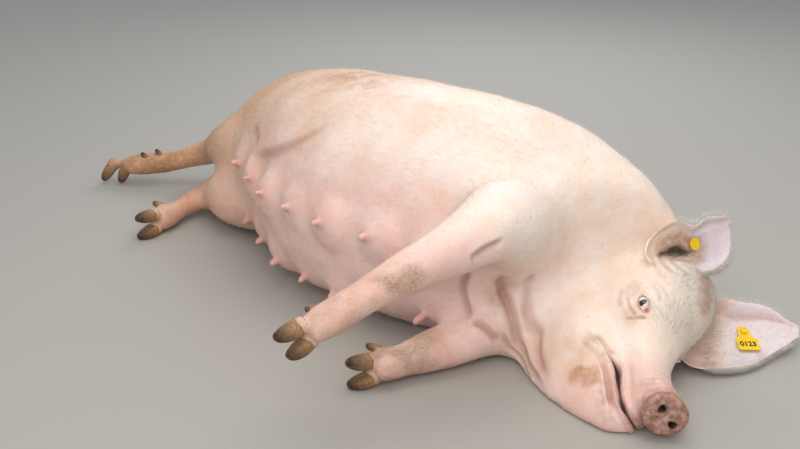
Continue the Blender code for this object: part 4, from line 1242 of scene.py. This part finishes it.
horn = hornMaterial()
for foot, parts in feet.items():
    for kind in ("claws", "dewclaws"):
        place, toes, across = (np.array(value) for value in parts[kind])
        across = unit(across)
        for word, way in (("inner", -1), ("outer", 1)):
            node = f"{clawLook[kind]['word']}_{foot}_{word}"
            start = place + shift + across * way * clawLook["spread"]
            splayed = unit(toes) + across * way * clawLook["splay"]
            size = np.array(clawLook[kind]["size"]) * clawLook["shrunk"]
            obj = newObject(node + "_horn", clawMesh(node, start, splayed, across, size, way))
            obj.data.materials.append(horn)
            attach(obj, "root")
            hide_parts(node)
print("claws made")

tagLook = {
    "colour": "#f6cc08",
    "scuff": "#8d6c2a",
    "print": "#1b1912",
    "rim": 0.0003,
    "digits": "0123",
    "digitHeight": 0.019,
    "digitDepth": 0.0004,
    "digitBold": 0.0005,
    "hang": 0.75,  # of the flag's length, from its pin to the digits' middle
}


def tagMaterial(name, code):
    # Moulded ear-tag plastic: coloured through, slightly waxy, scuffed in spots about 6 mm across.
    material, tree, shader = newMaterial(name, {"Roughness": 0.42})
    place = addNode(tree, "ShaderNodeTexCoord", output="Object")
    scuff = mottle(tree, place, 0.006, (0.55, 0.75), 4.0)
    base = stained(tree, hexColour(code), hexColour(tagLook["scuff"]), 0.35, scuff)
    tree.links.new(base, shader.inputs["Base Color"])
    return material


tagYellow = tagMaterial("tagPlastic", tagLook["colour"])
for node in ("tag_left_flag", "tag_left_stud", "tag_right_button"):
    obj = newObject(node + "_tag", cadCopy(node, 0.0), smooth=False)
    bm = opened(obj.data)
    bmesh.ops.dissolve_limit(bm, angle_limit=0.03, verts=bm.verts, edges=bm.edges)
    sharp = [edge for edge in bm.edges if len(edge.link_faces) == 2 and edge.calc_face_angle(0) > 0.9]
    bmesh.ops.bevel(bm, geom=sharp, affect="EDGES", offset=tagLook["rim"], segments=2, profile=0.5, material=-1)
    closed(bm, obj.data)
    obj.data.materials.append(tagYellow)
    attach(obj, "root")
    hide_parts(node)


# Plain numbers on the front of the flag, upright below its pin.
def digits():
    plate = coordsOf(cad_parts["tag_left_flag"].data)
    pin = coordsOf(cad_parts["tag_left_stud"].data)
    _, _, ways = np.linalg.svd(plate - plate.mean(axis=0), full_matrices=False)
    out = ways[2] * np.sign(ways[2] @ (cameraLook["place"] - plate.mean(axis=0)))
    hang = plate.mean(axis=0) - pin.mean(axis=0)
    hang = unit(hang - out * (hang @ out))
    front = (plate @ out).max()
    curve = bpy.data.curves.new("digits", "FONT")
    curve.body = tagLook["digits"]
    curve.size = tagLook["digitHeight"]
    curve.extrude = tagLook["digitDepth"]
    curve.offset = tagLook["digitBold"]
    curve.align_x, curve.align_y = "CENTER", "CENTER"
    text = newObject("digits", curve, smooth=False)
    mesh = bpy.data.meshes.new_from_object(text.evaluated_get(bpy.context.evaluated_depsgraph_get()))
    bpy.data.objects.remove(text)
    bm = opened(mesh)
    bmesh.ops.remove_doubles(bm, verts=bm.verts, dist=0.00001)
    flat = coordsOf(closed(bm, mesh))
    side = np.cross(-hang, out)
    centre = (plate @ hang).min() + tagLook["hang"] * np.ptp(plate @ hang)
    centre = plate.mean(axis=0) + hang * (centre - plate.mean(axis=0) @ hang)
    centre = centre + out * (front - centre @ out)
    placed = centre + side[None] * flat[:, :1] - hang[None] * flat[:, 1:2] + out[None] * flat[:, 2:3]
    putCoords(mesh, placed)
    obj = newObject("flagDigits", mesh, smooth=False)
    # Laser-marked print: black, duller than the plastic.
    ink = {"Base Color": hexColour(tagLook["print"]), "Roughness": 0.6}
    mesh.materials.append(newMaterial("tagPrint", ink)[0])
    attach(obj, "root")


cameraLook = {"place": np.array((2.45, -1.95, 1.35)) + shift, "turn": 49.0, "down": 21.75, "lens": 60.3}
digits()
print("tags made")


# Each part's line for laying out its hair's colours: from, to, and how far the part reaches from it.
unwrapLines = (
    ((-0.70, 0.25, 0.18), (0.62, 0.17, 0.19), 0.30),
    (headPoll, fromHead((0.46, 0.0, -0.12)), 0.16),
    ((0.58, -0.02, 0.32), (0.53, -0.52, 0.22), 0.07),
    ((0.51, 0.05, 0.08), (0.45, -0.30, 0.04), 0.07),
    ((-0.50, 0.09, 0.19), (-0.98, -0.04, 0.05), 0.06),
    ((-0.50, 0.03, 0.08), (-0.57, -0.19, 0.04), 0.05),
    (earPoint(ears["right"], 0.0, 0.0), earPoint(ears["right"], 0.20, 0.0), 0.045),
    (earPoint(ears["left"], 0.0, 0.0), earPoint(ears["left"], 0.24, 0.0), 0.06),
    ((-0.65, 0.36, 0.20), (-0.80, 0.29, 0.03), 0.02),
)


# A place on a sheet for each point: its part's cell, how far round the part and how far along it.
def unwrapped(points):
    best = np.full(len(points), 1e9)
    made = np.zeros((len(points), 2))
    for i, (a, b, reach) in enumerate(unwrapLines):
        a, b = np.array(a), np.array(b)
        axis = unit(b - a)
        t = ((points - a) @ axis) / np.linalg.norm(b - a)
        off = points - (a + np.clip(t, 0, 1)[:, None] * (b - a))
        distance = np.linalg.norm(off, axis=1) / reach
        side = unit(np.cross(axis, (0.1, 0.2, 1.0)))
        other = np.cross(axis, side)
        angle = np.arctan2(off @ side, off @ other) / (2 * np.pi) + 0.5
        cell = np.array((i % 3, i // 3)) / 3
        uv = cell + np.stack((0.02 + 0.29 * angle, 0.02 + 0.29 * np.clip(t * 0.8 + 0.1, 0, 1)), axis=1)
        closer = distance < best
        best[closer] = distance[closer]
        made[closer] = uv[closer]
    return made


# The way hair lies: back from the snout, back and down along the body, down the legs.
def lieOf(points, normals):
    local = toHead(points)
    lie = np.tile(np.array((-1.0, -0.12, -0.12)), (len(points), 1))
    inHead = (step(-0.10, 0.02, local[:, 0]) * step(0.52, 0.62, points[:, 0]))[:, None]
    lie = lie * (1 - inHead) + (-headForward - 0.25 * headUp) * inHead
    leg = (step(-0.14, -0.22, points[:, 1]) * (points[:, 0] > 0.3))[:, None]
    lie = lie * (1 - leg) + np.array((-0.12, -0.95, -0.2)) * leg
    for ear in ears.values():
        earShare = near(points, earPoint(ear, 0.08, 0.0), 0.15, 0.15)[:, None]
        lie = lie * (1 - earShare) + unit(ear["along"]) * 0.9 * earShare
    lie = lie + rng.normal(0, 0.16, lie.shape)
    return unit(lie - normals * np.sum(lie * normals, axis=1, keepdims=True))


skin.data.calc_loop_triangles()
skinFaces = rowsOf(skin.data.loop_triangles, "vertices", np.int32)
skinNormals = normalsOf(skin.data)
corners = skinPoints[skinFaces]
faceCentres = corners.mean(axis=1)
faceAreas = np.linalg.norm(np.cross(corners[:, 1] - corners[:, 0], corners[:, 2] - corners[:, 0]), axis=1) / 2


def rootsFor(density, count):
    chance = faceAreas * density
    chosen = rng.choice(len(skinFaces), count, p=chance / chance.sum())
    a, b = rng.random(count), rng.random(count)
    over = a + b > 1
    a[over], b[over] = 1 - a[over], 1 - b[over]
    share = np.stack((1 - a - b, a, b), axis=1)
    places = np.einsum("ij,ijk->ik", share, corners[chosen])
    normals = unit(np.einsum("ij,ijk->ik", share, skinNormals[skinFaces[chosen]]))
    marks = [np.einsum("ij,ijk->ik", share, layer[skinFaces[chosen]]) for layer in skinMarks]
    return places, normals, marks


# One closed spike for every hair, bent over once or straight.
def bristles(name, places, normals, lie, lengths, widths, lift, marks, material, bent):
    count = len(places)
    rise = unit(lie * np.cos(lift)[:, None] + normals * np.sin(lift)[:, None])
    over = unit(lie * np.cos(lift * 0.35)[:, None] + normals * np.sin(lift * 0.35)[:, None])
    base = places - normals * 0.0006
    middle = places + rise * (lengths * 0.5)[:, None]
    tip = middle + over * (lengths * 0.5)[:, None]
    side = unit(np.cross(rise, normals + 0.01))
    other = np.cross(rise, side)
    rings = 2 if bent else 1
    each = 3 * rings + 1
    points = np.empty((count, each, 3))
    for k in range(3):
        turn = 2 * math.pi * k / 3
        ring = side * math.cos(turn) + other * math.sin(turn)
        points[:, k] = base + ring * widths[:, None]
        if bent:
            points[:, 3 + k] = middle + ring * widths[:, None] * 0.75
    points[:, -1] = tip
    points = boxed(points, 0.0003)
    if bent:
        pattern = [(0, 1, 4), (0, 4, 3), (1, 2, 5), (1, 5, 4), (2, 0, 3), (2, 3, 5), (3, 4, 6), (4, 5, 6), (5, 3, 6)]
        patch = [(0.0, 0.0), (1.0, 0.0), (0.5, 1.0), (0.15, 0.3), (0.85, 0.3), (0.5, 0.8), (0.5, 0.5)]
    else:
        pattern = [(0, 1, 3), (1, 2, 3), (2, 0, 3)]
        patch = [(0.0, 0.0), (1.0, 0.0), (0.5, 1.0), (0.5, 0.4)]
    pattern = np.array(pattern + [(0, 2, 1)])
    faces = (pattern[None] + (np.arange(count) * each)[:, None, None]).reshape(-1, 3)
    mesh = bpy.data.meshes.new(name)
    mesh.vertices.add(count * each)
    mesh.vertices.foreach_set("co", points.reshape(-1, 3).ravel())
    mesh.loops.add(len(faces) * 3)
    mesh.loops.foreach_set("vertex_index", faces.ravel().astype(np.int32))
    mesh.polygons.add(len(faces))
    mesh.polygons.foreach_set("loop_start", np.arange(0, len(faces) * 3, 3, dtype=np.int32))
    mesh.update(calc_edges=True)
    mesh.validate()
    spots = unwrapped(places)[:, None] + (np.array(patch) - 0.5)[None] * 0.003
    layer = mesh.uv_layers.new(name="OFBake")
    layer.data.foreach_set("uv", spots.reshape(-1, 2)[faces.ravel()].astype(np.float32).ravel())
    paint(mesh, [np.repeat(layer, each, axis=0) for layer in marks])
    obj = newObject(name, mesh)
    mesh.materials.append(material)
    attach(obj, "root")
    return obj


hairLook = {
    "white": "#efe7da",
    "yellow": "#d8c39a",
    "tan": "#b98f5c",
    "dirt": "#6e5436",
    # painted shade on hairs: in the right ear's hollow and at the left ear's root
    "dark": "#241a17",
    "shine": {"Roughness": 0.40, "Specular IOR Level": 0.6},
}


def hairMaterial(name, darkness=0.0, strawShare=0.8):
    # Pig bristle: stiff, white to straw yellow in tufts 8 mm across, stained where the skin is.
    material, tree, shader = newMaterial(name, hairLook["shine"])
    place = addNode(tree, "ShaderNodeTexCoord", output="Object")
    where = marksIn(tree)
    tufts = mottle(tree, place, 0.008, (0.35, 0.65), 2.0)
    base = stained(tree, hexColour(hairLook["white"]), hexColour(hairLook["yellow"]), strawShare, tufts)
    base = stained(tree, base, hexColour(hairLook["tan"]), 0.8, where["tan"])
    base = stained(tree, base, hexColour(hairLook["dirt"]), 0.7, where["dirt"])
    # The darkness is painted shade, for the hairs in the right ear's hollow and at the left ear's root; the poll's
    # grey hair takes the same.
    base = stained(tree, base, hexColour(hairLook["dark"]), darkness, 1.0)
    tree.links.new(base, shader.inputs["Base Color"])
    return material


coatLook = {
    "coatBody": {"count": 19500, "length": 0.017, "width": 0.00017, "lift": 0.30, "bent": True},
    "coatBodyDown": {"count": 48000, "length": 0.009, "width": 0.00011, "lift": 0.35, "bent": False},
    "coatHead": {"count": 19800, "length": 0.015, "width": 0.00012, "lift": 0.22, "bent": True},
    "coatFace": {"count": 46000, "length": 0.007, "width": 0.00010, "lift": 0.40, "bent": False},
    "coatEarFringe": {"count": 4200, "length": 0.017, "width": 0.00022, "lift": 0.25, "bent": True},
    "coatEars": {"count": 9000, "length": 0.009, "width": 0.00012, "lift": 0.40, "bent": True},
    "coatEarInside": {"count": 360, "length": 0.020, "width": 0.00018, "lift": 0.6, "bent": True},
    "coatEarRoot": {"count": 500, "length": 0.016, "width": 0.00016, "lift": 0.5, "bent": True},
    "coatPoll": {"count": 1100, "length": 0.028, "width": 0.00018, "lift": 0.8, "bent": True},
    "whiskers": {"count": 500, "length": 0.014, "width": 0.00014, "lift": 0.9, "bent": True},
    "lashes": {"count": 90, "length": 0.011, "width": 0.00018, "lift": 0.9, "bent": True},
}
coatSpread = {"length": (0.55, 1.25), "width": (0.8, 1.3), "lift": (0.5, 1.5)}  # as shares of each piece's own
paleHair = hairMaterial("whiteBristle")
# Darkened hair is painted shade, for the right ear's hollow and the left ear's root; the grey one also covers the
# poll.
greyAndShadeHair = hairMaterial("greyAndShadeBristle", 0.45)
silverHair = hairMaterial("silverBristle", 0.06, 0.1)
darkShadeHair = hairMaterial("darkShadeBristle", 0.9)


def coatPiece(name, density, material, outward=None, longer=None):
    values = coatLook[name]
    places, normals, marks = rootsFor(density, values["count"])
    count = len(places)
    lengths = values["length"] * rng.uniform(*coatSpread["length"], count)
    if longer is not None:
        lengths = lengths * longer(places, marks)
    widths = values["width"] * rng.uniform(*coatSpread["width"], count)
    lift = values["lift"] * rng.uniform(*coatSpread["lift"], count)
    lie = lieOf(places, normals) if outward is None else outward(places, normals)
    tips = places + normals * (lengths * np.sin(lift))[:, None] + lie * lengths[:, None]
    inside = np.all(tips == boxed(tips, 0.0005), axis=1)
    args = (places[inside], normals[inside], lie[inside], lengths[inside], widths[inside], lift[inside])
    return bristles(name, *args, [layer[inside] for layer in marks], material, values["bent"])


local = toHead(faceCentres)
inHead = step(-0.06, 0.02, local[:, 0]) * step(0.54, 0.62, faceCentres[:, 0])
onEars, onEarFront, lowerRim, upperRim, earRoot, pit, lashes = np.zeros((7, len(faceCentres)))
for side in ears:
    along, across, height = onEar(faceCentres, side)
    here = (np.abs(height) < 0.012) * step(0.20, 0.35, along)
    onEars = np.maximum(onEars, here)
    lowerRim = np.maximum(lowerRim, here * (across < 0.05))
    upperRim = np.maximum(upperRim, here * (across > 0.97))
    onEarFront = np.maximum(onEarFront, (height > -0.012) * (height < 0.03) * (along > 0.02))
    if side == "left":
        earRoot = (np.abs(height) < 0.020) * np.exp(-(((along - 0.26) / 0.05) ** 2)) * step(0.95, 0.75, across)
    else:
        hole = np.hypot((along - 0.27) / 0.12, (across - 0.41) / 0.15)
        pit = (height > 0) * (height < 0.016) * step(1.1, 0.4, hole)


# Out over the edge of the ear and a little towards its tip.
def fromRim(points, normals):
    made = np.zeros((len(points), 3))
    for side in ears:
        _, across, height = onEar(points, side)
        here = np.abs(height) < 0.02
        way = unit(ears[side]["across"])[None] * np.sign(across - 0.5)[:, None] + 0.45 * unit(ears[side]["along"])
        made[here] = way[here]
    made = unit(made + rng.normal(0, 0.22, made.shape))
    made[:, 2] = np.where(points[:, 2] < 0.05, np.maximum(made[:, 2], -0.04), made[:, 2])
    return unit(made)


dry = step(0.004, 0.03, faceCentres[:, 2])
clear = np.ones(len(faceCentres))
for eye in eyes.values():
    clear *= 1 - near(faceCentres, eye["middle"], 0.021)
mouthDistance, _ = lineDistance(faceCentres, mouthLine, mouthFacing)
clear *= step(0.0065, 0.012, mouthDistance)
disc = step(0.415, 0.430, local[:, 0])
shaggy = 0.35 + 0.9 * skinMarks[1][skinFaces, 2].mean(axis=1)
headOnly = inHead * (1 - onEars) * (1 - disc) * clear * dry
bodyOnly = (1 - inHead) * (1 - onEars) * dry


def headLength(points, marks):
    lx = toHead(points)[:, 0]
    return (0.55 + 0.8 * marks[1][:, 2]) * (1 - 0.45 * step(0.24, 0.36, lx))


def footLength(points, marks):
    return 1 - 0.55 * np.maximum(step(-0.42, -0.52, points[:, 1]), step(-0.62, -0.80, points[:, 0]))


coatPiece("coatBody", bodyOnly, paleHair, longer=footLength)
coatPiece("coatBodyDown", bodyOnly, paleHair, longer=footLength)
coatPiece("coatHead", headOnly * shaggy, paleHair, longer=headLength)
coatPiece("coatFace", headOnly * (0.4 + shaggy), paleHair, longer=headLength)
coatPiece("coatEars", onEars, paleHair)
coatPiece("coatEarFringe", lowerRim + 0.35 * upperRim, silverHair, fromRim)
# Hairs in the right ear's hollow, darkened as painted shade.
coatPiece("coatEarInside", pit, darkShadeHair)
# Hairs along the left ear's root, darkened as painted shade.
coatPiece("coatEarRoot", earRoot, greyAndShadeHair)
nape = blob(local, ((-0.075, -0.040, 0.050), (-0.050, 0.0, 0.060), (-0.02, 0.045, 0.055)), 0.034) * (1 - onEars)
coatPiece("coatPoll", nape * (onEarFront < 0.5), greyAndShadeHair)
coatPiece("whiskers", inHead * step(0.30, 0.40, local[:, 0]) * (1 - disc) * clear, paleHair)
for eye in eyes.values():
    u, v, w = fromEye(faceCentres, eye)
    ring = np.hypot(u / eyeLook["half"], v / eyeLook["tall"])
    lashes = np.maximum(lashes, np.exp(-(((ring - 1.12) / 0.10) ** 2)) * (v > 0.003) * (w > 0))
coatPiece("lashes", lashes, paleHair)
print("coat made")

stageLook = {"floor": "#aaa69e", "floorSize": 40.0, "world": "#e4e9f2", "worldStrength": 0.64}
bm = bmesh.new()
bmesh.ops.create_grid(bm, x_segments=1, y_segments=1, size=stageLook["floorSize"] / 2)
floor = newObject("floor", closed(bm, "floor"), smooth=False)
# Painted concrete: matt, grey, taking a soft shadow.
floorPaint = {"Base Color": hexColour(stageLook["floor"]), "Roughness": 0.85}
floor.data.materials.append(newMaterial("paintedConcrete", floorPaint)[0])

lamps = {
    "overhead": {"place": (0.5, 0.1, 2.5), "aim": (0.2, 0.0, 0.2), "size": 2.4, "watts": 33, "colour": "#fffaf2"},
    "front": {"place": (2.4, -2.4, 2.2), "aim": (0.3, 0.0, 0.2), "size": 2.0, "watts": 55, "colour": "#fffdfb"},
    "back": {"place": (-1.4, 2.0, 1.8), "aim": (0.0, 0.2, 0.3), "size": 1.4, "watts": 22, "colour": "#f2f5ff"},
}
for name, lamp in lamps.items():
    light = bpy.data.lights.new(name, "AREA")
    light.shape = "SQUARE"
    light.size = lamp["size"]
    light.energy = lamp["watts"]
    light.color = hexColour(lamp["colour"])[:3]
    obj = newObject(name, light, smooth=False)
    obj.location = lamp["place"]
    obj.rotation_euler = (Vector(lamp["aim"]) - Vector(lamp["place"])).to_track_quat("-Z", "Y").to_euler()

world = bpy.data.worlds.new("studio")
world.use_nodes = True
world.node_tree.nodes["Background"].inputs[0].default_value = hexColour(stageLook["world"])
world.node_tree.nodes["Background"].inputs[1].default_value = stageLook["worldStrength"]
bpy.context.scene.world = world
bpy.context.scene.view_settings.view_transform = "Standard"

lens = bpy.data.cameras.new("camera")
lens.lens = cameraLook["lens"]
lens.sensor_width = 36
camera = newObject("camera", lens, smooth=False)
camera.location = cameraLook["place"]
camera.rotation_euler = (math.radians(90 - cameraLook["down"]), 0, math.radians(cameraLook["turn"]))
bpy.context.scene.camera = camera
print("stage set")
